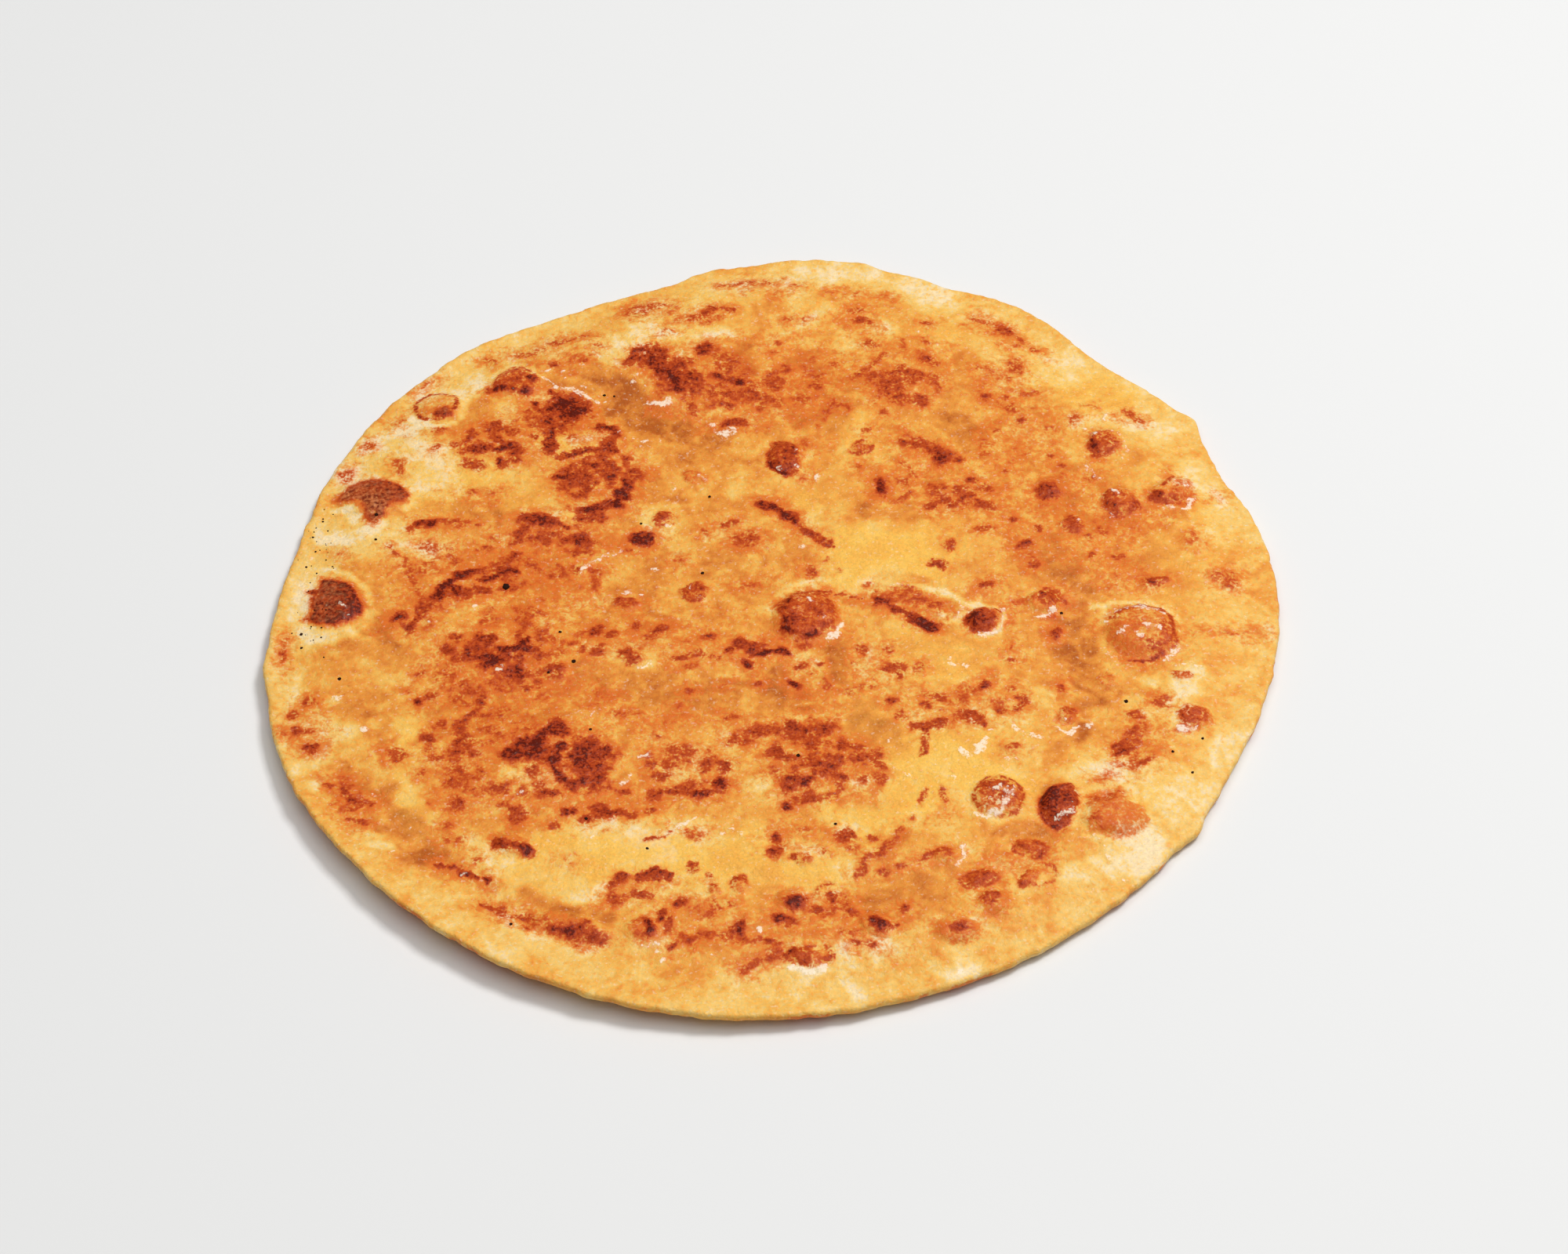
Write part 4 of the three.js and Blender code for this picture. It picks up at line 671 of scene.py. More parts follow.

# %% [markdown]
# ## Pale dough, filling, oil and painted shade
# Between the marks the skin isn't one colour. Puffed places that never touched the iron stay cream.
# Where the skin is thin the yellow filling glows through. Hollows that hold ghee look darker and olive,
# partly from the ghee and partly from their shade, which is painted into the colour here.
# Each of these is its own soft field, laid down as ovals, so that the material can colour them apart.
# Long valleys of ghee, painted darker for their shade too, and cream collars of stretched skin are lines
# of points, laid down as strokes.

# %% Pale dough: x, y, half length, half width, turn, strength
PALE_ZONES = [
    (-84, 19.5, 5, 3.5, 0, .75), (-68, 38, 6, 8, 0, .62), (-66, 31, 7, 3, 0, .48), (-79, 13, 5, 4, 0, .50),
    (-70, 48, 6, 2.2, 30, .66), (-86, -31, 3.5, 6, 0, .36), (-92.5, -19, 2, 4, 0, .40),
    (-83, -23, 1.2, 1.2, 0, .60), (-77, -31, 1.2, 2.0, 0, .52), (-82, -33, 3, 3, 0, .50),
    (-86, -41, 3, 2.2, 0, .36), (-69, -29, 4, 4, 0, .34), (-68, -47, 3, 2, 0, .34),
    (-25, 74, 6, 3.5, 0, .58), (-12, 71.5, 4.5, 2, 0, .58), (-33, 70, 4, 2, 0, .42), (8, 89, 5, 3, 0, .50),
    (32, 84, 9, 4, -25, .36), (18, 90, 6, 2.5, 0, .44), (5, 82, 3, 4, 0, .40), (9, 69, 3, 3, 0, .34),
    (24, 71, 3, 2.5, 0, .34), (77.5, -22, 3.8, 3.2, 0, .88), (75, -29, 4, 7, 0, .66),
    (68.5, -21.5, 2.5, 1.5, 0, .56), (59, -31.5, 3, 2.5, 0, .46), (62.5, -41.5, 4, 2, 0, .50),
    (84, -35, 4, 8, -25, .40), (64, -62, 8, 4, 40, .62), (54, -68, 4, 3, 30, .52), (76, -50, 7, 7, 0, .30),
    (57, -65, 5, 1.2, -60, .60), (-36, -69.5, 3.2, 1.4, 0, .55), (-22, -61.5, 3, 2, 0, .44),
    (12.5, -90.5, 2.2, 3.2, 0, .52), (31, -86.5, 5, 3, 0, .40), (-24, -85.5, 3, 2, 0, .50),
    (-6, -44.5, 3, 2.6, 0, .50), (15, -44.3, 2, 1.6, 0, .46), (-72, -59, 2, 1.4, 0, .60),
    (-73.5, -56, 1.5, 1.3, 0, .40), (-83.5, -46.2, 1.4, 1.2, 0, .60), (20, -82, 7, 3.5, 0, .40),
    (62, 62, 10, 5, -45, .34), (76, 44, 6, 9, 30, .28), (86, 20, 4, 12, 10, .24), (-51, 62, 5, 2, 20, .46),
    (-62, 60, 6, 2.5, 40, .44), (-85, 36, 3, 6, 20, .46), (-80, 47, 4, 3, 45, .40),
    (-57, 31.5, 4, 1.6, 0, .24), (-38, 45, 4, 2.5, 0, .42), (-33, 24.5, 3, 1.6, 0, .40),
    (-8, 51, 3, 1.5, 0, .44), (45, 66, 4, 3, 0, .34), (50, -56, 3, 2, 0, .40), (-70, 15.5, 5, 3, 0, .40),
    (-30, 66, 5, 4, 0, .44), (-26, -55, 10, 4, 8, .38), (-54, -57, 6, 4, -30, .36),
    (-49, -66, 9, 3.4, -30, .32), (54, -43, 6, 4, 0, .42), (66, -33, 6, 6, 0, .36),
    (52, 57, 9, 7, -45, .28), (38, 68, 8, 5, -30, .26), (8, 78, 7, 5, 0, .32), (-76, 43, 6, 5, 40, .40),
    (-74, -16, 5, 9, 10, .26), (-90, 6, 2.4, 9, 0, .50), (42, -30, 7, 3, 20, .24), (78, -6, 4, 7, 0, .22),
    (18, 68, 4, 3, 0, .26), (63.5, 45.5, 4, 2.4, 0, .30), (86, -8, 4, 12, 0, .30), (-88, 13, 4, 8, 0, .24),
    (-75, 18, 8, 4, 0, .40), (6, -19, 5, 3, 0, .30), (42, -41, 6, 4, 0, .30), (64, -42, 5, 3, 0, .30),
    (-28, -56, 8, 4, 0, .22), (-53, -65, 6, 3, -30, .22), (-24, 68, 5, 2.5, 0, .26), (30, 17, 8, 5, 0, .20),
    (18, 5, 6, 4, 0, .20), (80, -18, 5, 5, 0, .26), (-80, 17, 7, 5, 0, .50), (-73, 22, 4, 2.5, 0, .44),
    (-31, 70, 6, 3.4, 0, .50), (-23, 73.5, 6, 2.6, 0, .44), (-14, 72.3, 7, 2.4, 0, .46),
    (-43, 66, 4, 3, 20, .30), (42, -35, 5, 4, 0, .34), (58, -45, 5, 4, 0, .34), (46, -27, 4, 3, 0, .24),
    (6, -15.5, 4.5, 2.6, 0, .44), (7, -30, 6, 1.8, 0, .34), (-20, -44, 3, 2.6, 0, .30),
    (-28, -57, 9, 4, 0, .26), (-15, -55, 6, 4, 0, .26), (-50, -62, 9, 4, -30, .34),
    (-40, -67, 8, 3, -20, .34), (33, 9, 5, 5, 0, .20), (18, 44, 5, 5, 0, .26), (42, 20, 3, 2.4, 0, .24),
    (68, 31, 5, 3.5, 0, .22), (-46, 57, 4, 2.5, 20, .30), (27, -55, 8, 4, 0, .22), (9, -54, 6, 3, 0, .22),
    (20, 4, 8, 5, 0, .20), (-66, 16, 6, 3.5, 0, .40), (-18, 67, 4, 3, 0, .40), (-42, -4, 5, 3, 0, .30),
    (-46, -42, 4, 3, 0, .30), (54, -29, 4, 5, 0, .34), (6, -28.5, 6, 2.4, 0, .30), (-5, 30, 5, 4, 0, .36),
    (62, -42, 4, 4, 0, .30), (46, -42, 5, 4, 0, .26), (-30, -54, 5, 3, 0, .26), (-54, -64, 5, 4, -30, .26),
    (54, -52, 3, 5, 0, .26), (-35, -56, 8, 4, 0, .26), (-24, -60.5, 7, 2.5, 8, .34),
    (-35, -68, 4, 3, 0, .34), (-45, -62.5, 5, 3, 0, .30), (-12, -56, 5, 4, 0, .28),
    (-24, -73, 4, 2.5, 0, .36), (-30, 67, 5, 2.5, 0, .26), (-54, 53, 4, 3, 0, .26),
    (-38, 56, 4, 2, -20, .24), (-66, 8, 4, 4, 0, .24), (42, -54, 4, 3, 0, .36), (18, -54, 6, 4, 0, .24),
    (26, -8, 8, 3, 0, .24), (30, -30, 5, 3, 0, .22), (8, 20, 4, 4, 0, .24), (30, 52, 4, 3, 0, .24),
    (30, 45, 4, 3, 0, .20), (66, -45, 4, 3, 0, .24), (10, -65, 6, 3, 0, .20), (-42, -43, 4, 3, 0, .26),
    (-18, -42, 3, 2.4, 0, .24), (6, 18, 3, 4, 0, .24), (18, 18, 6, 4, 0, .22), (-30, 30, 3, 3, 0, .24),
    (54, -54, 3, 4, 0, .26), (-6, 40, 4, 3, 0, .16), (-42, 55, 5, 2, -20, .24),
]

# %% Yellow filling that glows through, and painted light on the pad right of the middle, in the same form
YELLOW_ZONES = [
    # the first rows lie on a pad right of the middle that tilts toward the light: their yellow is partly
    # painted light
    (20, 12, 14, 7, -8, .90), (14, 17, 5, 5, 0, .70), (25, 7, 6, 4, 0, .60), (5, 25, 3, 6, -25, .62),
    (15, 42, 5, 6, 0, .50), (32, 15, 8, 5, 0, .44), (24, 48, 8, 5, 0, .34), (34, -42, 14, 7, -20, .90),
    (24, -47, 8, 5, 0, .80), (35, -44, 6, 4, 0, .60), (10, -52, 12, 4, 0, .62), (-12, -60, 12, 6, 0, .66),
    (-26, -60, 10, 5, 8, .66), (4, -65, 9, 4, 0, .52), (-45, -42, 3, 4, 0, .60),
    (-40, 43.5, 4, 3.2, 0, .80), (-34, 43, 3, 2.5, 0, .66), (-37.5, 27, 3.5, 1.8, 0, .80),
    (-56, 31, 8, 5, 0, .46), (67, 53, 6, 6, 0, .52), (30, -15, 9, 8, 0, .50), (44, -20, 6, 6, 0, .34),
    (52, -36, 4, 5, 0, .40), (60, 58, 8, 5, -45, .46), (-70, -30, 4, 8, 0, .40), (-60, 17, 8, 3, 20, .40),
    (10, 30, 5, 5, 0, .36), (38, 73, 9, 5, -30, .40), (-45, -58, 8, 3, 0, .40), (72, 30, 7, 9, 0, .22),
    (74, -2, 8, 8, 0, .30), (15, -57, 10, 5, 30, .40), (-8, 66, 5, 3, 0, .34), (33, 84, 12, 5, -20, .34),
    (40, 40, 6, 5, 0, .26), (-28, -38, 3, 3, 0, .30), (-67, -37, 7, 15, 0, .56), (-32, -62, 26, 8, -8, .50),
    (26, -28, 20, 10, -12, .40), (-20, 78, 18, 6, 18, .44), (-62, 63, 12, 5, 42, .36),
    (-70, 36, 10, 14, 10, .40), (18, -62, 20, 7, 15, .40), (-52, 34, 20, 12, 0, .36),
    (70, -50, 9, 12, -30, .36), (28, 66, 14, 9, 0, .26), (80, 10, 7, 22, 0, .34),
    (60, 46, 12, 12, -45, .26), (-10, -74, 16, 6, 0, .34), (-14, -38, 12, 8, 0, .26),
    (2, -92, 26, 4, 0, .26),
]

# %% Skin soaked with ghee, and the painted shade of hollows, in the same form
OILY_AND_SHADED_ZONES = [
    (-24, 48.5, 11, 4.2, -22, .84), (-32, 55, 8, 4.4, -30, .84), (-4, 66, 3, 6, 0, .62),
    (-43, 15, 8, 4, 0, .50), (10, 51, 6, 6, 0, .62), (36, 45, 7, 5, 0, .44), (15, 26, 3.5, 3, 0, .34),
    (31, 29, 3, 2.5, 0, .50), (57, -8, 4.5, 9, 0, .72), (12, -16, 4, 9, 0, .40), (0, -20, 6, 4, 0, .62),
    (4, -27, 9, 3, 0, .44), (18, -33, 7, 4.5, -20, .62), (-76, -26, 5, 13, 12, .28),
    (60, -25, 4.5, 4, 0, .46), (54, -40, 6, 2.0, 50, .50), (24, -70, 9, 4.5, 0, .62),
    (44, -59, 8, 4, 25, .62), (-42, -70.5, 6, 2.2, -35, .62), (-31, -77.5, 5, 2, -45, .58),
    (-68.5, -53, 5.5, 2.4, -55, .96), (-65, -59, 4, 2.0, -50, .76), (-72, -48, 6, 3, -60, .60),
    (24, 22, 5, 3, 0, .20), (-52, -27, 11, 8, 0, .44), (-58, -38, 9, 7, 0, .36), (52, 8, 6, 10, 0, .36),
    (60, 26, 8, 9, 0, .30), (-12, 30, 11, 10, 0, .12), (-30, -22, 16, 5, 0, .40), (8, 66, 6, 7, 0, .36),
    (20, -60, 4, 3, 0, .30), (-6, -70, 6, 4, 0, .34), (30, -78, 6, 5, 0, .24), (-20, 5, 12, 6, 0, .20),
    (40, 58, 8, 8, 0, .20), (-62, 22, 8, 4, 10, .26), (68, 10, 6, 8, 0, .20), (-10, -20, 12, 5, 0, .26),
    (33, 8, 4, 3, 0, .14), (-46, 6, 10, 9, 0, .40), (-6, 54, 7, 5, 0, .40), (6, 43, 5, 6, 0, .34),
    (72, 20, 7, 9, 0, .36), (-60, 29, 8, 4, 0, .30), (-46, -6, 8, 6, 0, .30), (42, -5, 5, 5, 0, .36),
    (-22, -30, 9, 5, 0, .24), (-75, -2, 5, 8, 0, .34), (-72, 6, 4, 4, 0, .24), (57, -33, 6, 2.2, 70, .50),
    (49, -44, 3, 3.4, 0, .45), (46, -52, 3, 6, 0, .34), (-48, -20, 12, 8, 0, .30), (-76, -9, 5, 7, 0, .46),
    (-24, -5, 14, 5, 0, .36), (-4, -8, 6, 4, 0, .30), (66, 54, 7, 3, -45, .34), (-66, 29, 5, 3, 0, .30),
    (-31, 30, 6, 6, 0, .26), (56, 30, 7, 8, 0, .24), (4, -24, 8, 4, 0, .34), (-64, -31, 5, 6, 0, .40),
    (-19, 29, 8, 7, 0, .34), (-78, -8, 5, 5, 0, .30), (8, 27, 4, 5, 0, .24), (66, 42, 4, 4, 0, .24),
    (-52, 22, 7, 4, 0, .24), (-66, 54, 4, 4, 0, .20), (-46, -19, 8, 5, 0, .24), (-55, 6, 7, 5, 0, .22),
    (-30, 17, 6, 5, 0, .24), (54, 18, 5, 6, 0, .24), (66, 17, 5, 5, 0, .24), (66, 42, 5, 4, 0, .20),
    (18, -42, 5, 3, 0, .20), (-30, -6, 7, 5, 0, .30), (54, -5, 4, 6, 0, .24),
]

# %% Valleys with ghee, painted darker for their shade: half width, strength, then the points of the line
VALLEYS = [
    (3.0, .60, (-45, 60.5), (-38, 58.5), (-32, 55), (-29, 51), (-24, 48), (-18, 45.5), (-12, 43)),
    (1.3, .80, (-41, 58), (-35, 56.5), (-30, 53)), (0.9, .80, (-36, 60), (-31, 58), (-27.5, 54)),
    (0.9, .80, (-29, 49.5), (-24, 46), (-21, 43.5)), (0.8, .75, (-27, 51.5), (-22, 50), (-17.5, 47)),
    (3.4, .66, (-84, -40), (-78, -45), (-71.5, -51), (-67, -56.5), (-62.5, -61.5)),
    (1.5, .90, (-70, -51), (-66.5, -56), (-63, -60.5)), (1.0, .80, (-79, -43), (-74, -47), (-70, -51.5)),
    (2.0, .36, (-60, -64), (-52, -67), (-44, -69.8), (-37, -74), (-30, -77.5)),
    (0.9, .60, (-46, -69), (-41, -71.5), (-37, -74.5)),
    (2.6, .50, (57, 3), (56.5, -8), (57.5, -18), (57, -27)),
    (1.7, .66, (57, -27), (56, -34), (52.5, -39.5), (48.5, -43.5), (47, -49)),
    (2.2, .55, (11, -12), (12, -20), (7, -26)), (1.4, .60, (-1, -21), (4, -25), (11, -28)),
    (2.6, .60, (14, -31.5), (18, -34), (22, -38)), (2.6, .55, (17, -71), (24, -69.5), (31, -66)),
    (2.0, .55, (38, -58), (44, -59.5), (49, -56)),
]

# %% Cream collars round marks and blisters, in the same form
COLLARS = [
    (1.5, .62, (-90.3, -6.0), (-87.5, -7.6), (-84.5, -7.9), (-81.3, -6.7), (-78.8, -4.6), (-77.8, -2)),
    (0.6, .62, (-77.6, -1), (-78.3, 2.2), (-79.8, 5.4), (-82.3, 8.2), (-85.5, 9.5), (-89.5, 10)),
    (1.2, .40, (-92, 7), (-91.5, 2), (-92.5, -2)), (1.0, .55, (-86.5, 25.8), (-83.6, 25.6), (-82.4, 22.5)),
    (0.8, .85, (-72.7, 50.5), (-71, 48.2), (-67.5, 47.2), (-64, 48.2)),
    (0.5, .70, (-57, 61.3), (-54.5, 63.6), (-51.5, 64.4), (-48.3, 62.6), (-46.8, 60)),
    (0.9, .60, (-62.5, 49.6), (-62, 54), (-64, 58)), (0.6, .40, (-70.8, 31.5), (-70.5, 28), (-72.4, 24.8)),
    (0.5, .80, (35.6, -3.6), (38.5, -2.6), (41.8, -3.4), (43.4, -6.2), (42.6, -9.2), (40, -10.6)),
    (0.6, .70, (60.5, -3.5), (66, -2.6), (72, -2.9), (76.5, -7)),
    (0.5, .6, (55, -59), (61, -60.3), (67.4, -57)),
    (0.5, .50, (-0.2, 0.4), (1.7, 2.6), (5.9, 4.0), (12.6, 4.4), (18.6, 3.6), (24, 2.3)),
    (0.6, .66, (24, 2.3), (28.3, 2.0), (31.9, 0.4), (34.9, -1.4), (37.9, -3.8)),
    (0.6, .72, (31.3, -4.4), (32.2, -7.4), (34.3, -6.2), (36.7, -4.4), (39.7, -2.9)),
]

# %% Lay down the zones
LOOSE_WIDE, LOOSE_FAR = 9.0, 5.0
LOOSE_FINE, LOOSE_NEAR = 3.0, 1.6
loose_x = X + LOOSE_FAR * swing(X, Y, LOOSE_WIDE, 41) + LOOSE_NEAR * swing(X, Y, LOOSE_FINE, 42)
loose_y = Y + LOOSE_FAR * swing(X, Y, LOOSE_WIDE, 43) + LOOSE_NEAR * swing(X, Y, LOOSE_FINE, 44)


def lay_zones(zones, px, py):
    """One soft field, from 0 to 1, out of many overlapping ovals."""
    field = np.zeros(len(px))
    for x, y, half_long, half_wide, turn, strength in zones:
        near = smooth((1.45 - oval(px, py, x, y, half_long, half_wide, turn)) / 1.0)
        field = 1.0 - (1.0 - field) * (1.0 - strength * near)
    return field


half_x = (X + loose_x) / 2.0
half_y = (Y + loose_y) / 2.0
pale = lay_zones(PALE_ZONES, half_x, half_y)
yellow = lay_zones(YELLOW_ZONES, loose_x, loose_y)
oily_and_shaded = lay_zones(OILY_AND_SHADED_ZONES, half_x, half_y)
for half, strength, *path in VALLEYS:
    edge = stroke(torn_x, torn_y, path) / (half * (0.45 + 0.75 * ragged))
    oily_and_shaded = np.maximum(oily_and_shaded, strength * smooth((1.4 - edge) / 0.8))
blush = blush * (1.0 - 0.45 * pale) * (1.0 - 0.25 * yellow)
for half, strength, *path in COLLARS:
    collar = strength * smooth((1.6 - stroke(torn_x, torn_y, path) / half) / 1.1)
    pale = np.maximum(pale, collar)
    blush = blush * (1.0 - 0.85 * collar)
MARGIN_WIDE = 17.0               # millimetres of drier margin, where the filling thins out
to_rim = outline(angle) - np.hypot(X - CENTRE_X, Y - CENTRE_Y)
margin = smooth((MARGIN_WIDE - to_rim + 6.0 * (hills(X, Y, 14.0, 45) - 0.5)) / 14.0)
print("pale", round(float(pale.mean()), 3), "yellow", round(float(yellow.mean()), 3))

# %% [markdown]
# ### One scale from dry dough to soaked skin
# All the colours between the marks lie on one line: dry cream, straw, gold, amber, and the olive tan
# of skin soaked with ghee, which in hollows and valleys also paints their shade. So one field, ghee,
# says where on that line each point is. Random hills of 7, 3 and 1.5 mm keep it uneven, and most of all
# in toasted places, where the skin between the marks is pale.

# %% Random of three sizes for the ghee
GHEE_PLAIN = 0.57                # plain skin, on the line from 0, dry, to 1, soaked
BLOTCH_MM, STREAK_MM, CRUMBLE_MM = 7.0, 2.8, 1.5
blotchy = 2.0 * rough_hills(X, Y, BLOTCH_MM, 46) - 1.0
streaky = 2.0 * rough_hills(loose_x, loose_y, STREAK_MM, 47) - 1.0
crumbly = swing(X, Y, CRUMBLE_MM, 48)
print("ghee: patches of", BLOTCH_MM, STREAK_MM, CRUMBLE_MM, "mm")

# %% [markdown]
# ## Blisters
# Steam lifts the skin into small domes. A dome that reached the iron has a brown cap, a darker ring
# round its foot, and often a cream collar of skin that was held away from the heat. The height comes
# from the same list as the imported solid, so those domes are at the same places.

# %% Blisters of the solid: x, y, half length, half width, turn, height
BLISTERS = [
    (69.4, -9.8, 6.6, 6.0, -20, 1.4), (5.6, -5.0, 6.0, 5.7, 0, 1.4), (2.5, 37.3, 3.2, 3.7, 0, 0.9),
    (39.6, -6.4, 3.4, 2.8, 20, 1.0), (51.0, -2.2, 3.1, 2.6, 0, 0.8), (40.0, -49.4, 4.8, 4.3, 0, 1.2),
    (51.2, -50.8, 3.3, 4.7, -15, 1.1), (61.0, -54.4, 5.8, 3.8, 5, 1.1), (66.0, 39.8, 3.5, 3.1, 0, 0.8),
    (67.8, 23.6, 3.7, 3.2, -30, 0.9), (78.4, 26.6, 4.9, 2.8, 25, 0.9), (54.0, 27.8, 2.5, 2.5, 0, 0.7),
    (77.5, -30.8, 3.3, 2.7, 0, 0.7), (-67.0, 53.4, 4.9, 3.9, 0, 0.8), (-79.0, 28.6, 7.2, 4.8, -15, 0.7),
    (-85.1, 1.0, 5.6, 6.0, 0, 0.7), (-51.6, 59.4, 4.9, 3.8, 0, 0.7), (-48.4, -58.6, 3.6, 2.2, -25, 0.7),
    (-37.5, -77.0, 7.6, 2.6, -15, 0.8), (1.8, -71.6, 2.9, 2.2, 0, 0.7), (16.9, -77.6, 2.8, 2.3, 0, 0.7),
    (31.2, -79.0, 4.0, 2.6, 0, 0.7), (38.0, -73.2, 3.0, 2.4, 0, 0.6), (-25.0, -77.6, 3.2, 2.4, 0, 0.6),
]
BLISTER_FOOT = 1.45
BLISTER_WALL = 1.2

# %% Small domes that only show close up, in the same form
SMALL_DOMES = [
    (54, -30.5, 1.7, 1.5, 0, 0.45), (61.7, -21.3, 1.6, 1.5, 0, 0.40), (4.7, -84, 3.6, 1.6, 0, 0.45),
    (-7.5, -68.2, 1.7, 1.6, 0, 0.40), (-12.2, -69.3, 1.4, 1.3, 0, 0.35), (44.8, -67.5, 2.3, 1.6, 30, 0.40),
    (45.3, -61.3, 2.3, 1.4, 0, 0.45), (36, -68.2, 2.5, 1.5, 15, 0.40), (30.5, -63, 2.2, 2.4, 0, 0.45),
    (58, -51, 1.7, 1.7, 0, 0.30), (62.5, -50.5, 1.5, 1.8, 0, 0.30), (40.5, -64.3, 1.7, 1.5, 0, 0.30),
    (43, -38.5, 1.8, 1.3, 0, 0.35), (3.5, -62.8, 1.8, 1.2, 0, 0.30), (-27.3, -13.5, 2.2, 1.6, 0, 0.35),
    (-15.5, 2.3, 2.5, 2.2, 0, 0.40), (-16, 32, 2.5, 2.0, 0, 0.30), (17, 39.5, 2.0, 1.2, 40, 0.30),
    (-22.5, 21, 2.2, 1.8, 0, 0.35), (52.7, -10.2, 1.2, 1.4, 0, 0.30), (72.3, 2.3, 2.6, 1.4, 25, 0.35),
    (81.2, 13.3, 2.0, 1.8, 0, 0.30), (86.5, 3, 2.8, 2.3, 0, 0.35), (58, 17.5, 2.0, 2.7, 0, 0.40),
    (-29, -0.5, 2.6, 1.4, 0, 0.35), (-3, 83.5, 3.0, 2.0, 0, 0.30), (-21.8, -84.5, 1.2, 1.2, 0, 0.25),
    (75.8, -21.3, 2.0, 1.3, 0, 0.30), (-42, -17.5, 2.2, 2.0, 0, 0.35), (-73, -53.2, 1.6, 1.0, 0, 0.30),
]

# %% Caps, rings and collars: x, y, half length, half width, turn, cap tone, ring tone, collar, dark side
DOME_TOAST = [
    (69.0, -10.5, 6.0, 5.9, 0, .25, .16, .26, 90), (6, -4.3, 5.6, 5.6, 0, .52, .72, .18, 215),
    (2.5, 36.5, 3.1, 4.2, 0, .66, .86, .24, 200), (39, -7, 3.1, 2.9, 0, .92, .90, .26, 180),
    (52.5, -1.5, 2.5, 2.3, 0, .50, .70, .20, 150), (40, -49.5, 4.3, 4.0, 0, .56, .40, .26, 120),
    (45, -61.3, 2.4, 1.4, 0, .50, .60, .26, 0), (35.6, -68.3, 2.8, 1.4, 10, .44, .55, .26, 180),
    (66, 38.8, 3.0, 3.1, 0, .44, .62, .14, 180),
    (-67.9, 53.4, 3.8, 3.6, 0, .06, .12, .20, -60), (-51.6, 60, 3.7, 3.7, 0, .46, .66, .20, -90),
    (-48.2, -59.2, 3.2, 1.3, -30, .30, .30, .30, -30), (-38.5, -78, 6.2, 1.9, -15, .44, .50, .28, 0),
    (31, -79.4, 3.2, 2.3, 0, .24, .40, .30, 90), (-25.5, -78, 2.3, 1.7, 0, .34, .60, .30, 0),
    (61.7, -21.3, 1.3, 1.3, 0, .22, .50, .16, 90),
    (4.7, -84, 3.1, 1.3, 0, .40, .66, .46, 180), (-7.5, -68.2, 1.4, 1.3, 0, .22, .60, .24, 120),
    (-12.2, -69.3, 1.2, 1.1, 0, .24, .56, .24, 120), (44.8, -67.5, 2.0, 1.4, 30, .30, .56, .30, 180),
    (58, -51, 1.5, 1.5, 0, .26, .42, .30, 90), (62.5, -50.5, 1.3, 1.6, 0, .26, .42, .30, 90),
    (30.5, -61.8, 1.5, 1.2, 0, .46, .50, .40, 180), (3.5, -62.8, 1.5, 1.0, 0, .30, .50, .20, 180),
    (-27.3, -13.5, 1.9, 1.4, 0, .62, .70, .30, 180), (-15.5, 2.3, 2.3, 2.0, 0, .56, .76, .20, 200),
    (-16, 32, 2.3, 1.8, 0, .24, .42, .20, 180), (17, 39.5, 1.8, 1.1, 40, .34, .60, .16, 180),
    (-22.5, 21, 1.9, 1.6, 0, .52, .60, .34, 0), (75.8, -21.3, 1.7, 1.0, 0, .36, .40, .10, 90),
]

# %% Raise the domes and toast them
SMALL_FOOT = 1.35
SMALL_WALL = 0.9
relief = np.zeros(len(X))
for x, y, half_long, half_wide, turn, height in BLISTERS:
    from_middle = oval(X, Y, x, y, half_long, half_wide, turn)
    relief = relief + height * smooth((BLISTER_FOOT - from_middle ** 2) / BLISTER_WALL)
for x, y, half_long, half_wide, turn, height in SMALL_DOMES:
    from_middle = oval(bent_x, bent_y, x, y, half_long, half_wide, turn)
    relief = relief + height * smooth((SMALL_FOOT - from_middle ** 2) / SMALL_WALL)
for x, y, half_long, half_wide, turn, cap, ring, collar, dark_side in DOME_TOAST:
    from_middle = oval(bent_x, bent_y, x, y, half_long, half_wide, turn)
    narrow = 0.75 / min(half_long, half_wide)
    shade = facing(X, Y, x, y, dark_side, half_long)
    toast = add_tone(toast, cap * (0.62 + 0.70 * lumpy) * smooth((1.12 - from_middle) / 0.35))
    ringed = ring * (0.35 + 0.85 * lumpy) * (0.45 + 0.80 * shade)
    toast = add_tone(toast, ringed * bell((from_middle - 0.96) / narrow))
    blush = np.maximum(blush, min(0.85, 0.42 + 0.9 * cap) * smooth((1.25 - from_middle) / 0.3))
    pale = np.maximum(pale, collar * bell((from_middle - 1.0 - 1.9 * narrow) / (1.5 * narrow)))
print("domes:", len(BLISTERS) + len(SMALL_DOMES), "highest, mm:", round(float(relief.max()), 2))
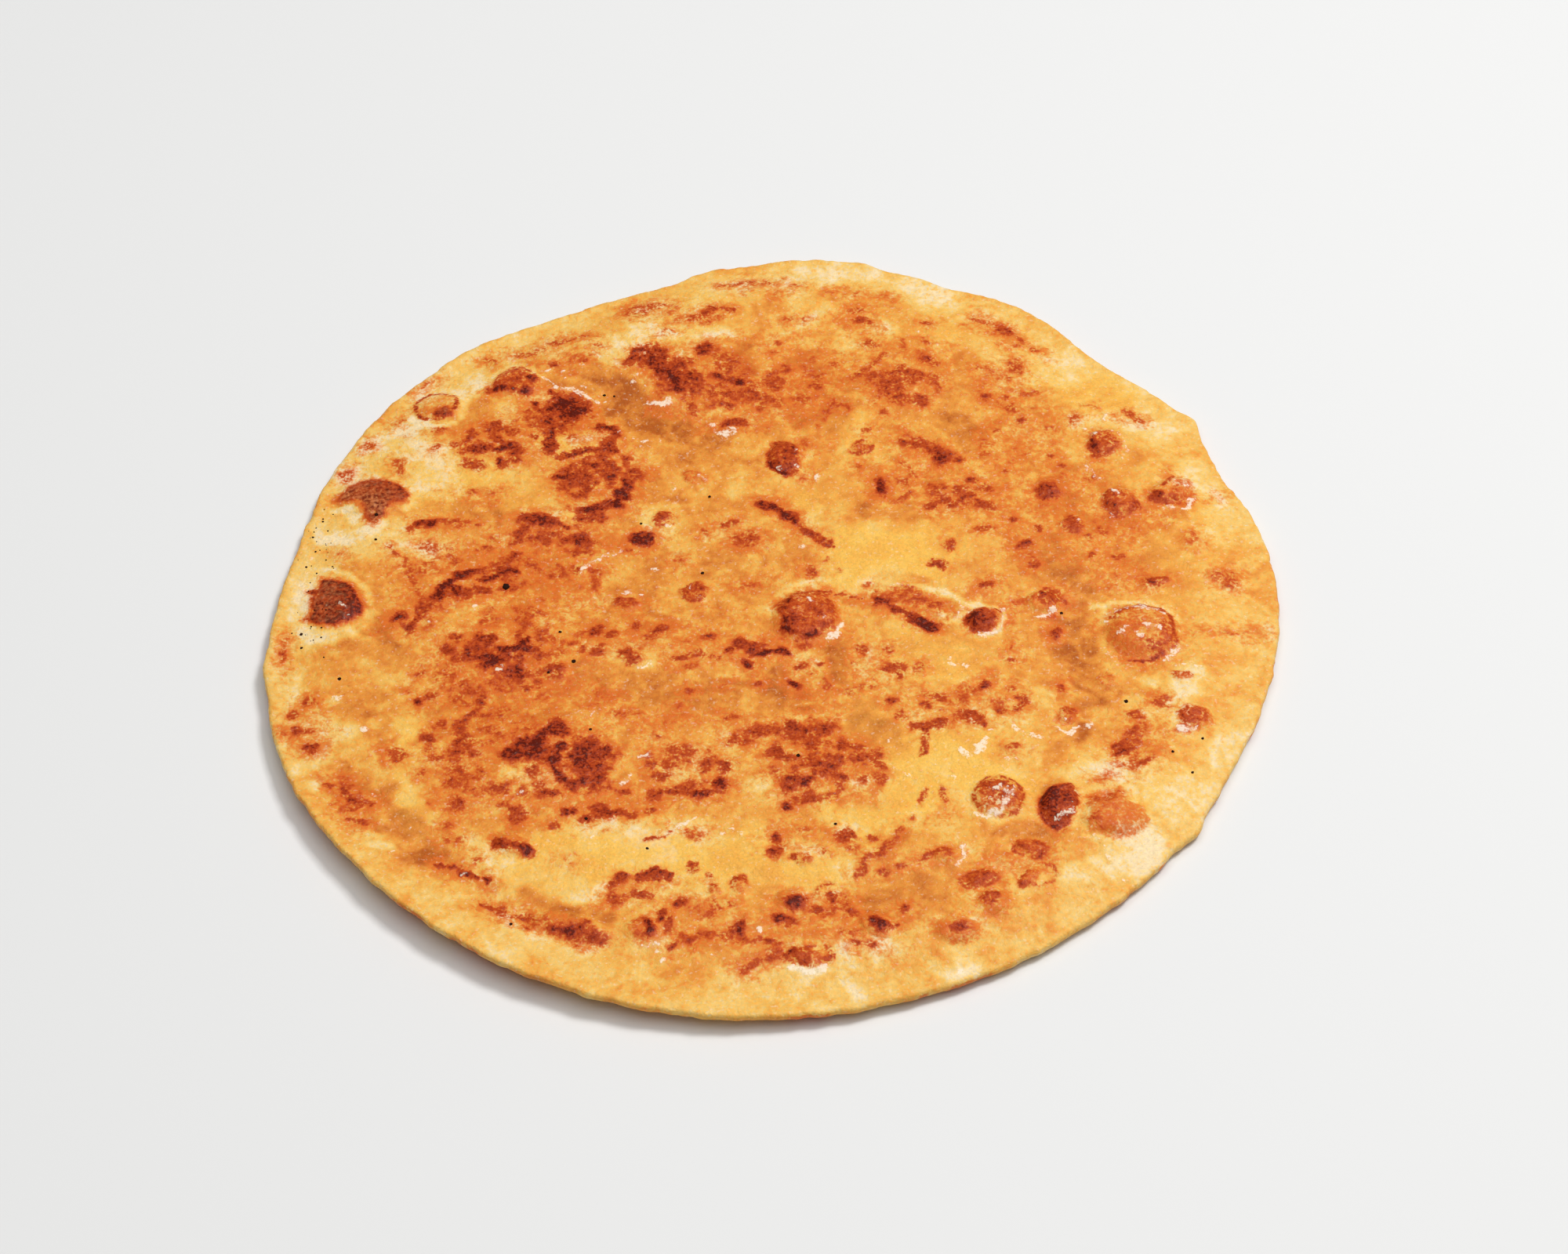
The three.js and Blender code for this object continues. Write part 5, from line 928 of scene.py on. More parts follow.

# %% [markdown]
# ### Cream crescents and shiny creases, partly painted highlights
# On the side of a dome that faces the light, the stretched skin is pale and its film of ghee catches
# the light in a thin crescent. Fine creases between the pads do the same. Both are strokes again,
# raised a little, and painted cream white into the colour: partly pale skin, partly a painted
# highlight, which shows from every side.

# %% Crescents and creases: half width, strength, then the points of the line
CREASES = [
    # sides of the domes
    (0.55, .95, (8.6, -10.9), (10.5, -10), (11.8, -7.6)), (0.5, .60, (3, -1), (4.4, -1.6)),
    (0.5, .60, (7, -6.6), (9, -5.6)), (0.7, .90, (38.5, -10.2), (40.3, -10.3), (42, -9.4)),
    (0.5, .70, (43, -4), (43.3, -6.5), (42.9, -9)), (0.5, .50, (36, -3), (34, -6.5)),
    (0.6, .90, (49.5, -5.5), (51.5, -5.6), (53.5, -4.3)), (0.8, .72, (65, -5), (68, -4), (72, -5.3)),
    (0.7, .75, (75.8, -13), (75, -15), (73.3, -16.8)), (0.6, .70, (64.5, -10.5), (67, -9.5)),
    (0.6, .70, (70, -9), (72.5, -9.8)), (0.5, .60, (62, -12), (62.3, -15), (63.5, -17.5)),
    (0.5, .90, (35.6, -52.6), (37.6, -54.1), (39.6, -54), (40.6, -51.5)),
    (0.6, .80, (40.4, -52.4), (42.6, -50), (43.4, -47.8)), (0.6, .80, (37.5, -49), (39.5, -48), (42, -49)),
    (0.45, .80, (50, -55), (52, -53.9), (54.2, -52.2)), (0.5, .50, (69.3, 41), (69.9, 38.3), (69, 35.5)),
    (0.4, .50, (63.4, 24.6), (64.2, 21.5), (66, 19.2)), (0.5, .90, (66.1, 26.2), (67.3, 24.6)),
    (0.6, .70, (77.2, 27), (79, 29.5)), (0.5, .80, (76, 21.3), (79.5, 21.9), (83, 24.5)),
    (0.5, .90, (52.2, -33.4), (54, -34.2), (55.6, -33.2)), (0.6, .90, (36.8, -39.4), (39.2, -36.6)),
    (0.6, .85, (74.5, -34.5), (77, -33.3)), (0.6, .80, (-26.5, -16), (-24.5, -15.3)),
    (0.6, .75, (-24.5, -80.6), (-22.5, -80.4)), (0.7, .85, (1.5, -86.6), (4.5, -87), (7, -86)),
    (0.45, .70, (32.8, -60), (33.3, -62.5), (32.3, -64.8)), (0.6, .70, (42, -41), (43.6, -40.8)),
    (0.5, .36, (69.2, 41.5), (66.5, 42.6), (63.5, 42)), (0.5, .60, (-31.5, 1.6), (-28.5, 2), (-26, 1.2)),
    # creases in the skin
    (0.6, .80, (-48, 62), (-44, 57.5), (-40, 56.5), (-35.5, 53)), (0.7, .90, (-25, 52.5), (-21, 53.3)),
    (0.8, .90, (-11, 44), (-8.5, 44.5)), (0.6, .66, (-38, 8), (-33, 12.5)),
    (0.6, .66, (-32, 11.5), (-29.5, 14)), (0.6, .60, (-38, -27.7), (-34, -27)),
    (0.6, .75, (-30, -45), (-28, -42.5)), (0.6, .70, (-26, -39), (-24, -38.5)),
    (0.5, .85, (-19.5, -55.5), (-17.5, -54.2), (-15.7, -52.5)), (0.5, .50, (31, 1), (38, -3)),
    (0.5, .60, (64, 29), (62, 34)), (0.5, .66, (-53.3, -16.8), (-52.2, -16.2)),
    (0.6, .55, (57, -59), (60, -64), (63, -69)), (0.5, .60, (-51, -47), (-47, -46.2)),
    (0.5, .60, (64.5, -36.5), (67, -38.5)), (0.5, .50, (22, 2.3), (27, 2.6), (32, 1)),
    (0.3, .80, (-83, -0.6), (-81.5, -1.2)), (0.3, .80, (-82.3, -4), (-80.8, -3)),
    (0.4, .60, (-84.3, 20.5), (-86, 18.5)), (0.5, .60, (-29.5, 43.2), (-26.8, 42.3)),
    (0.5, .55, (-26.5, 40.3), (-24.5, 39.6)), (0.7, .46, (-59, 52.5), (-55, 50)),
    (0.6, .50, (-92, 2), (-91.5, 8), (-90, 14)), (0.6, .62, (74, -18.7), (77.5, -18), (80.5, -19.3)),
    (0.6, .60, (43, -33.5), (48, -35.5)),
]

# %% Tiny glints, painted highlights: the top of a fold catching the light: x, y, radius
GLINTS = [
    (-45, 62.5, .7), (-42, 62, .7), (-38, 64, .7), (-57.8, -1.3, .6), (-66, -4.8, .7), (8.5, 31, .8),
    (62, 43.5, .7), (66, 46.5, .7), (29.8, 70.5, .7), (33.5, 67.8, .7), (33, -16.3, .7), (32.8, -17.8, .6),
    (35, -17.5, .7), (37.5, -38.5, 1.1), (35, -39.5, .8), (43.5, -33.5, .8), (40, -33.5, .7), (49, -36, .8),
    (47, -35, .7), (32.3, -44.3, .7), (-34, -56, .7), (-9, -55.5, .7), (-11.3, -57, .6), (-7.7, -57, .6),
    (-3.5, -78.5, .8), (-24, 8.5, .7), (-19.5, 28.5, .7), (4.8, 37.5, .6), (1.2, 33.8, .6), (4.5, 34, .6),
    (4, -3.7, .6), (8, -6, .7), (6, -1.5, .6), (62.5, -7.3, .7), (68.5, -11.5, .8), (73.5, -6.8, .7),
    (80.7, 26.8, .7), (66.7, 25.3, .7), (64.5, 41.3, .6), (-14.8, 31.5, .7), (-20.5, 19.3, .6),
    (4.8, 12.5, .7), (59.3, 18.3, .6), (53.5, -31.5, .5), (40.5, -47, .7), (38, -50.5, .6), (41.5, -48, .6),
    (57.5, -33, .6), (-15, 1, .5), (-16.5, 3.4, .5), (-38, 57.6, .5), (-33.6, 53.2, .5), (-28, 58.6, .7),
    (-25.2, 57.4, .8), (-27, 60.6, .6), (-30, 61, .5), (-31, 44.6, .5), (-12.6, 46.6, .7),
    (-41.6, 60.2, .4), (38.4, -38, 1.2), (34, -38.8, .9), (43.6, -34, .8), (-23.4, 42.6, .5),
    (-26, 41.4, .6), (58.6, -32.4, .8), (24, -44.5, .5), (28.5, -42.2, .5), (20.8, -36.2, .5),
    (-66.8, -54, .4), (-75.4, -45.5, .5), (-82.4, -22.4, .8), (-76.8, -31, .9), (-83.4, -24.4, .5),
    (-70, -60.5, .5), (-57, -64.6, .5), (-22.6, -82, .5), (-21.6, -84.6, .7), (-12, -83.5, .5),
    (9, -88, .6), (31, -88, .7),
]

# %% Raise the creases and lay down their painted highlights
CREASE_HIGH = 0.16               # millimetres
# painted highlights and pale skin: crescents, creases and glints, mixed into the colour as cream white
glint_and_pale_skin = np.zeros(len(X))
for half, strength, *path in CREASES:
    line = strength * smooth((1.5 - stroke(bent_x, bent_y, path) / (half * ragged)) / 1.0)
    glint_and_pale_skin = np.maximum(glint_and_pale_skin, line)
for x, y, size in GLINTS:
    glint_and_pale_skin = np.maximum(glint_and_pale_skin, 0.85 * smooth((1.5 - np.hypot(bent_x - x, bent_y - y) / size) / 1.0))
relief = relief + CREASE_HIGH * glint_and_pale_skin
print("creases:", len(CREASES), "glints:", len(GLINTS))

# %% [markdown]
# ## Pads, hollows and wrinkles
# The filling lies unevenly under the skin, so there are low pads and hollows, and a margin that is
# bent up at one side. On top of that the skin has wrinkles a millimetre or two apart, and toasted
# places blister a little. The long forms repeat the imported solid, and the fine ones are only here.

# %% Long forms of the top, as in the solid
SWELLS = [
    (-50, 42, 15, 8, -5, 0.45), (-34, 33, 8, 11, 0, 0.4), (-54, -13, 15, 8, 0, 0.45),
    (-43, -38, 19, 10, -8, 0.5), (6, -41, 17, 8, 0, 0.45), (-18, 62, 14, 10, -10, 0.4),
    (29, 60, 13, 9, 10, 0.35), (36, 30, 16, 10, 10, 0.35), (-50, 22, 20, 5, 12, 0.35),
    (-10, 84, 22, 5, 4, 0.3), (26, 14, 19, 9, -10, 0.4), (24, -60, 17, 7, 15, 0.4),
    (42, -38, 17, 8, -20, 0.4), (-25, -57, 18, 6, 8, 0.4), (-29, 51, 15, 6, -22, -0.6),
    (-72, -18, 12, 9, 20, -0.5), (57, -8, 6, 12, 0, -0.5), (11, -69, 13, 5, 6, -0.5),
    (-18, 4, 17, 11, 0, -0.4), (-22, -20, 20, 7, 0, -0.3), (8, 62, 9, 11, 0, -0.35),
    (60, -36, 7, 6, -30, -0.45), (45, -63, 8, 6, 30, -0.4), (-62, 13, 12, 6, 30, -0.3),
]
VALLEY_RADIUS, VALLEY_AT, VALLEY_WIDE, VALLEY_HALF, VALLEY_DEEP = 86.5, 238.0, 27.0, 3.4, 0.7
ROLL_WAVES = [
    (0.061, 0.023, 0.4, 0.16), (-0.031, 0.083, 1.9, 0.14),
    (0.108, -0.071, 3.0, 0.09), (0.049, 0.137, 5.1, 0.07),
]
for x, y, half_long, half_wide, turn, height in SWELLS:
    relief = relief + height * np.exp(-oval(X, Y, x, y, half_long, half_wide, turn) ** 2)
for rate_x, rate_y, phase, height in ROLL_WAVES:
    relief = relief + height * np.sin(rate_x * X + rate_y * Y + phase)

# %% Wrinkles, crumbs of filling under the skin and blistered toast: sizes and heights in millimetres
FOLD_MM, FOLD_HIGH = 2.3, 0.16
FINE_FOLD_MM, FINE_FOLD_HIGH = 1.35, 0.09
CALM_PATCH_MM = 11.0             # patches with and without wrinkles
FILLING_MM, FILLING_HIGH = 4.5, 0.24
CHAR_MM, CHAR_HIGH, CHAR_UNEVEN = 1.5, 0.10, 0.16
OILY_SUNK = 0.10
fold = 1.0 - np.abs(swing(loose_x, loose_y, FOLD_MM, 61))
fine_fold = 1.0 - np.abs(swing(bent_x, bent_y, FINE_FOLD_MM, 62))
wrinkled = smooth((hills(X, Y, CALM_PATCH_MM, 63) - 0.35) / 0.4)
fine = FOLD_HIGH * wrinkled * fold ** 3 + FINE_FOLD_HIGH * fine_fold ** 3
fine = fine + FILLING_HIGH * (rough_hills(X, Y, FILLING_MM, 64) - 0.5)
fine = fine + toast * (CHAR_HIGH + CHAR_UNEVEN * (hills(X, Y, CHAR_MM, 65) - 0.5))
fine = fine - OILY_SUNK * oily_and_shaded
print("fine relief, mm:", round(float(fine.min()), 2), "to", round(float(fine.max()), 2))

# %% Mix the ghee field
# the oily field brings in the olive tan of ghee and the painted shade of hollows and valleys
ghee = GHEE_PLAIN + 0.36 * oily_and_shaded - 0.54 * pale - 0.20 * margin - 0.14 * yellow
ghee = ghee + 0.20 * blotchy + (0.20 + 0.20 * blush + 0.16 * oily_and_shaded) * streaky + 0.08 * crumbly
ghee = ghee + 0.45 * blush * (patchy - 0.58)
blush = blush * (0.52 + 0.85 * patchy) * (1.0 - 0.75 * smooth((yellow - 0.45) / 0.4))
print("mean ghee", round(float(ghee.mean()), 3), "mean blush", round(float(blush.mean()), 3))

# %% Heights of every point
CRUMPLE_MARGIN = 0.012           # share of the radius over which the fine wrinkles fade out
UNDER_FADE = 0.985               # share past which the underside has no pores and no toast
PORE_MM, PORE_DEEP = 2.1, 0.22   # pores of the underside
TEAR_WIDE, TORN_RIM = 2.6, 0.80  # the rim's tears, which go half of 0.8 mm in or out
heading = np.degrees(angle)
far_out = np.hypot(X - CENTRE_X, Y - CENTRE_Y)
lift_t = np.clip((far_out - LIFT_START) / (outline(angle) - LIFT_START), 0.0, 1.0)
lift = SOFT_LIFT * smooth(lift_t) + CURL_LIFT * curl(heading) * lift_t ** CURL_POWER
valley = bell(turn_from(heading, VALLEY_AT) / VALLEY_WIDE) * bell((far_out - VALLEY_RADIUS) / VALLEY_HALF)
filled = smooth((FILL_START - share) / (FILL_START - FILL_FULL))
bare = EDGE_THICK + (BODY_THICK - EDGE_THICK) * filled
calm = smooth((1.0 - share) / RELIEF_MARGIN)
crumple = smooth((1.0 - share) / CRUMPLE_MARGIN)
top_height = lift + bare + calm * relief + crumple * fine - VALLEY_DEEP * valley
edge_height = lift + EDGE_THICK * (1.0 + np.cos(bend)) / 2.0
pores = hills(X, Y, PORE_MM, 71)
under_height = lift + PORE_DEEP * smooth((pores - 0.45) / 0.4) * smooth((UNDER_FADE - share) / 0.03)
height = np.where(under, under_height, np.where(on_edge, edge_height, top_height))
torn = TORN_RIM * (rough_hills(X, Y, TEAR_WIDE, 72) - 0.5) * smooth((share - 0.96) / 0.035)
nudge = 1.0 + torn / far_out.clip(1.0)
final_x = CENTRE_X + (X - CENTRE_X) * nudge - MIDDLE_X
final_y = CENTRE_Y + (Y - CENTRE_Y) * nudge - MIDDLE_Y
placed = np.stack([final_x, final_y, height], axis=1) * MM
bread.data.vertices.foreach_set("co", placed.ravel())
bread.data.update()
print("highest, mm:", round(float(height.max()), 2))

# %% Cut the squares into triangles, each along its shorter diagonal
bpy.ops.object.select_all(action="DESELECT")
bread.select_set(True)
bpy.context.view_layer.objects.active = bread
bpy.ops.object.mode_set(mode="EDIT")
bpy.ops.mesh.select_all(action="SELECT")
bpy.ops.mesh.quads_convert_to_tris(quad_method="SHORTEST_DIAGONAL")
bpy.ops.object.mode_set(mode="OBJECT")
bpy.ops.object.shade_smooth()
print("bread:", len(bread.data.polygons), "triangles")

# %% [markdown]
# ## The underside
# The other face was on the griddle too. The photograph doesn't show it, so it gets plain toasting of
# the same kind: random spots and clouds, with the paler margin that a lifted edge keeps.

# %% Toast the underside with random spots
UNDER_SPOTS = 150
UNDER_REACH = 88.0               # spots lie up to this far from the middle
UNDER_SIZES = (0.9, 3.4)
UNDER_TONES = (0.4, 0.95)
UNDER_CLOUD_MM, UNDER_PATCH_MM = 9.0, 2.6
dice = np.random.default_rng(81)
under_toast = 0.50 * smooth((rough_hills(bent_x, bent_y, UNDER_CLOUD_MM, 82) - 0.50) / 0.16)
under_toast = under_toast * (0.45 + 0.75 * rough_hills(X, Y, UNDER_PATCH_MM, 83))
for _ in range(UNDER_SPOTS):
    way = dice.uniform(0.0, 2.0 * math.pi)
    out = UNDER_REACH * math.sqrt(dice.uniform(0.0, 1.0))
    size = dice.uniform(*UNDER_SIZES)
    tone = dice.uniform(*UNDER_TONES)
    spot_x, spot_y = out * math.cos(way), out * math.sin(way)
    far = oval(bent_x, bent_y, spot_x, spot_y, size, size * dice.uniform(0.6, 1.0), dice.uniform(0, 180))
    under_toast = add_tone(under_toast, tone * smooth((1.35 - far) / 0.7))

# %% Put the underside's fields under the bread
below = under | (on_edge & (band > EDGE_STEPS / 2))
off_rim = smooth((to_rim + 0.6) / 1.5)
toast = np.where(below, under_toast * smooth((UNDER_FADE - share) / 0.08), toast * off_rim)
blush = np.where(below, smooth(1.6 * under_toast), blush * off_rim)
under_ghee = 0.44 + 0.24 * blotchy + 0.30 * streaky + 0.5 * (hills(X, Y, 13.0, 84) - 0.5)
ghee = np.where(below, under_ghee, ghee)
yellow = np.where(below, 0.5 * smooth((hills(X, Y, 16.0, 85) - 0.4) / 0.3), yellow)
glint_and_pale_skin = np.where(below, 0.0, glint_and_pale_skin)
dust = np.where(below, 0.0, dust)
print("points of the underside:", below.sum())

# %% Keep the fields on the mesh for the material
FIELDS = {"toast": toast, "blush": blush, "ghee": ghee, "yellow": yellow, "glint_and_pale_skin": glint_and_pale_skin, "dust": dust}
for name, field in FIELDS.items():
    kept = bread.data.attributes.new(name, "FLOAT", "POINT")
    kept.data.foreach_set("value", np.clip(field, 0.0, 1.0).astype(np.float32))
    print(name, "from", round(float(field.min()), 2), "to", round(float(field.max()), 2))

# %% [markdown]
# ## The crust
# The crust is baked wheat dough: a matt, slightly waxy skin, with a film of ghee that makes it shine
# softly. Its colour runs from cream dough over golden and amber to orange, red brown and nearly black,
# as sugar and starch brown. The material mixes those colours by the fields on the mesh. Two noises,
# one as fine as semolina and one as wide as a spot's rim, break every edge up and make the fine bumps.
# A third scatters tiny painted glints over the skin and lighter specks over the char. The crescents
# and creases are painted cream white too, partly as highlights.

# %% Colours and nodes
def linear(hex_colour):
    """An sRGB hex colour as the linear numbers that a shader takes."""
    parts = [int(hex_colour[i:i + 2], 16) / 255.0 for i in (1, 3, 5)]
    return [p / 12.92 if p <= 0.04045 else ((p + 0.055) / 1.055) ** 2.4 for p in parts] + [1.0]


def add_node(tree, kind, inputs=(), out=0, **settings):
    """Add one node and give back one of its outputs.

    inputs holds a value, or a socket to link from, for an input's name or number.
    """
    node = tree.nodes.new("ShaderNode" + kind)
    for name, value in settings.items():
        setattr(node, name, value)
    for name, value in dict(inputs).items():
        if isinstance(value, bpy.types.NodeSocket):
            tree.links.new(value, node.inputs[name])
        else:
            node.inputs[name].default_value = value
    return node.outputs[out]


def fill_ramp(socket, stops):
    """Give a colour ramp its stops: place and colour."""
    steps = socket.node.color_ramp.elements
    steps[0].position, steps[0].color = stops[0]
    steps[1].position, steps[1].color = stops[-1]
    for place_on_ramp, colour in stops[1:-1]:
        steps.new(place_on_ramp).color = colour


GRAIN_MM = 0.50                  # semolina and bran, drawn a little coarse so that they show
RIM_MM = 1.25                    # ragged rim of a toast mark
CRUMB_MM = 0.70                  # tiny painted glints, and lighter specks on the char
crust = bpy.data.materials.new("toasted wheat crust with ghee")
crust.use_nodes = True
tree = crust.node_tree
place = add_node(tree, "TexCoord", out="Object")
grain = add_node(tree, "TexNoise", {"Vector": place, "Scale": 1.0 / (GRAIN_MM * MM), "Detail": 2.0})
rim = add_node(tree, "TexNoise", {
    "Vector": place, "Scale": 1.0 / (RIM_MM * MM), "Detail": 3.0, "Distortion": 0.5})
crumb = add_node(tree, "TexNoise", {"Vector": place, "Scale": 1.0 / (CRUMB_MM * MM), "Detail": 1.0})
less = add_node(tree, "Math", {0: grain, 1: 0.90, 2: -0.95}, operation="MULTIPLY_ADD")
ragged_rim = add_node(tree, "Math", {0: rim, 1: less}, operation="ADD")
print("noises:", GRAIN_MM, CRUMB_MM, RIM_MM, "mm")

# %% Skin between the marks, from dry to soaked
SKIN = [
    (0.00, linear("#f5dbac")),   # cream, raw dough that never touched the iron
    (0.20, linear("#f1c670")),   # straw
    (0.40, linear("#edb253")),   # gold, a drier margin
    (0.58, linear("#e8983e")),   # amber, plain skin with ghee in it
    (0.78, linear("#d67e30")),   # dark amber, skin that drank more of it
    (1.00, linear("#b25a1e")),   # olive tan: a hollow that holds ghee, darker also by its painted shade
]
FILLING = linear("#f5be52")      # yellow filling that glows through thin skin
ghee_here = add_node(tree, "Attribute", attribute_name="ghee", out="Fac")
ghee_here = add_node(tree, "Math", {0: ragged_rim, 1: 0.50, 2: ghee_here}, operation="MULTIPLY_ADD")
skin = add_node(tree, "ValToRGB", {"Fac": ghee_here})
fill_ramp(skin, SKIN)
thin_here = add_node(tree, "Attribute", attribute_name="yellow", out="Fac")
thin_here = add_node(tree, "Math", {0: ragged_rim, 1: 0.80, 2: thin_here}, operation="MULTIPLY_ADD")
thin_here = add_node(
    tree, "MapRange", {"Value": thin_here, "From Min": 0.15, "From Max": 0.95, "To Max": 0.66},
    interpolation_type="SMOOTHSTEP")
skin = add_node(tree, "Mix", {0: thin_here, 6: skin, 7: FILLING}, out=2, data_type="RGBA")

# %% Orange blush and the toast marks over it
BLUSH = linear("#dc6d26")
TOAST = [
    (0.00, linear("#dd7028")),   # first browning
    (0.30, linear("#d26022")),   # orange brown
    (0.52, linear("#bf4b19")),   # rust
    (0.74, linear("#a63912")),   # red brown
    (0.92, linear("#84250b")),   # dark brown
    (1.00, linear("#5e1606")),   # nearly burnt
]
CHAR_DARK = linear("#6e2a14")    # burnt starch without ghee
CHAR_LIGHT = linear("#cf7c48")   # its dusty tops
blush_here = add_node(tree, "Attribute", attribute_name="blush", out="Fac")
blush_here = add_node(tree, "Math", {0: ragged_rim, 1: 1.30, 2: blush_here}, operation="MULTIPLY_ADD")
blush_here = add_node(
    tree, "MapRange", {"Value": blush_here, "From Min": 0.12, "From Max": 0.88, "To Max": 0.85},
    interpolation_type="SMOOTHSTEP")
colour = add_node(tree, "Mix", {0: blush_here, 6: skin, 7: BLUSH}, out=2, data_type="RGBA")
marked = add_node(tree, "Attribute", attribute_name="toast", out="Fac")
strong = add_node(
    tree, "MapRange", {"Value": marked, "From Min": 0.02, "From Max": 0.50, "To Max": 1.25},
    interpolation_type="SMOOTHSTEP")
toasted = add_node(tree, "Math", {0: ragged_rim, 1: strong, 2: marked}, operation="MULTIPLY_ADD")
browned = add_node(tree, "ValToRGB", {"Fac": toasted})
fill_ramp(browned, TOAST)
dust_here = add_node(tree, "Attribute", attribute_name="dust", out="Fac")
speckled = add_node(tree, "MapRange", {"Value": crumb, "From Min": 0.36, "From Max": 0.62})
dusty_brown = add_node(tree, "Mix", {0: speckled, 6: CHAR_DARK, 7: CHAR_LIGHT}, out=2, data_type="RGBA")
browned = add_node(tree, "Mix", {0: dust_here, 6: browned, 7: dusty_brown}, out=2, data_type="RGBA")
covered = add_node(
    tree, "MapRange", {"Value": toasted, "From Min": 0.06, "From Max": 0.50},
    interpolation_type="SMOOTHSTEP")
colour = add_node(tree, "Mix", {0: covered, 6: colour, 7: browned}, out=2, data_type="RGBA")
dusty = add_node(tree, "MapRange", {
    "Value": grain, "From Min": 0.28, "From Max": 0.74, "To Min": 0.87, "To Max": 1.12})
colour = add_node(tree, "VectorMath", {0: colour, "Scale": dusty}, operation="SCALE")

# %% Painted highlights and pale skin, gloss and fine bumps
SHINE = linear("#fce9d0")        # painted highlight: cream white for light on the ghee, and for pale stretched skin
# painted highlights and pale skin, then tiny painted glints scattered by the crumb noise
glint_and_pale_skin_here = add_node(tree, "Attribute", attribute_name="glint_and_pale_skin", out="Fac")
glint_and_pale_skin_here = add_node(tree, "Math", {0: ragged_rim, 1: 1.50, 2: glint_and_pale_skin_here}, operation="MULTIPLY_ADD")
glint_and_pale_skin_here = add_node(
    tree, "MapRange", {"Value": glint_and_pale_skin_here, "From Min": 0.46, "From Max": 0.94, "To Max": 0.82},
    interpolation_type="SMOOTHSTEP")
colour = add_node(tree, "Mix", {0: glint_and_pale_skin_here, 6: colour, 7: SHINE}, out=2, data_type="RGBA")
glint_most = add_node(tree, "Math", {0: covered, 1: -0.22, 2: 0.27}, operation="MULTIPLY_ADD")
glint_here = add_node(
    tree, "MapRange", {"Value": crumb, "From Min": 0.60, "From Max": 0.78, "To Max": glint_most},
    interpolation_type="SMOOTHSTEP")
colour = add_node(tree, "Mix", {0: glint_here, 6: colour, 7: SHINE}, out=2, data_type="RGBA")
gloss = add_node(tree, "MapRange", {
    "Value": rim, "From Min": 0.30, "From Max": 0.70, "To Min": 0.32, "To Max": 0.50})
gloss = add_node(tree, "Math", {0: glint_and_pale_skin_here, 1: -0.18, 2: gloss}, operation="MULTIPLY_ADD")
pitted = add_node(tree, "Math", {0: grain, 1: 0.5, 2: rim}, operation="MULTIPLY_ADD")
bump = add_node(tree, "Bump", {"Height": pitted, "Strength": 0.85, "Distance": 0.32 * MM})
shader = tree.nodes["Principled BSDF"]
tree.links.new(colour, shader.inputs["Base Color"])
tree.links.new(gloss, shader.inputs["Roughness"])
tree.links.new(bump, shader.inputs["Normal"])
shader.inputs["IOR"].default_value = 1.45
shader.inputs["Specular IOR Level"].default_value = 0.13
shader.inputs["Subsurface Weight"].default_value = 0.06
shader.inputs["Subsurface Radius"].default_value = (1.0, 0.45, 0.2)
shader.inputs["Subsurface Scale"].default_value = 0.5 * MM
bread.data.materials.append(crust)
print("material:", crust.name, len(tree.nodes), "nodes")

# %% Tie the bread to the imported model
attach(bread, "root")
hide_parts("puran_poli")

# %% [markdown]
# ## Burnt flour
# Some black specks of flour from the griddle stick to the skin, and many tiny ones to its left margin.
# They are real crumbs and not paint, so they are a piece of their own: small flattened lumps, all of
# one mesh, each sunk a little into the bread.

# %% Specks: x, y, radius
SPECKS = [
    (-52, 4.2, 0.80), (-14.2, 7.1, 0.36), (-26.2, 20.2, 0.30), (-12.8, 26.8, 0.30), (-82.6, -18.3, 0.40),
    (-90.7, -6.5, 0.36), (-90.4, -10, 0.30), (-35, -31.8, 0.34), (-38.5, -15.2, 0.45), (-41.3, -7.7, 0.32),
    (-43.2, -18, 0.30), (65, -27, 0.40), (54.3, -4.8, 0.34), (72.7, -39.4, 0.30), (76, -43.8, 0.30),
    (78.6, -35.8, 0.30), (3.5, -39, 0.40), (10, -55, 0.36), (-35.4, -52.8, 0.34), (-48.3, -76.3, 0.32),
    (-24.2, -59.8, 0.30), (-34, 55.5, 0.34), (-32, 55.2, 0.28), (-91, 11, 0.26), (-89.5, 15, 0.24),
    (-90.3, 19, 0.26), (-88.6, 23, 0.24), (-77.8, 17, 0.30), (-78, 23.5, 0.40),
]
TINY_SPECKS = 44                 # thrown at the left margin, but only those on the bread stay
TINY_SIZES = (0.10, 0.20)        # their radius
RIM_CLEAR = 1.5                  # millimetres that they stay clear of the rim
MARGIN_LEFT, MARGIN_RIGHT, MARGIN_NEAR, MARGIN_FAR = -93.0, -85.5, -14.0, 30.0
speck_rng = np.random.default_rng(91)
for _ in range(TINY_SPECKS):
    x = speck_rng.uniform(MARGIN_LEFT, MARGIN_RIGHT)
    y = speck_rng.uniform(MARGIN_NEAR, MARGIN_FAR)
    if math.hypot(x - CENTRE_X, y - CENTRE_Y) < MEAN_RADIUS - RIM_CLEAR:
        SPECKS.append((x, y, speck_rng.uniform(*TINY_SIZES)))
print("specks:", len(SPECKS))

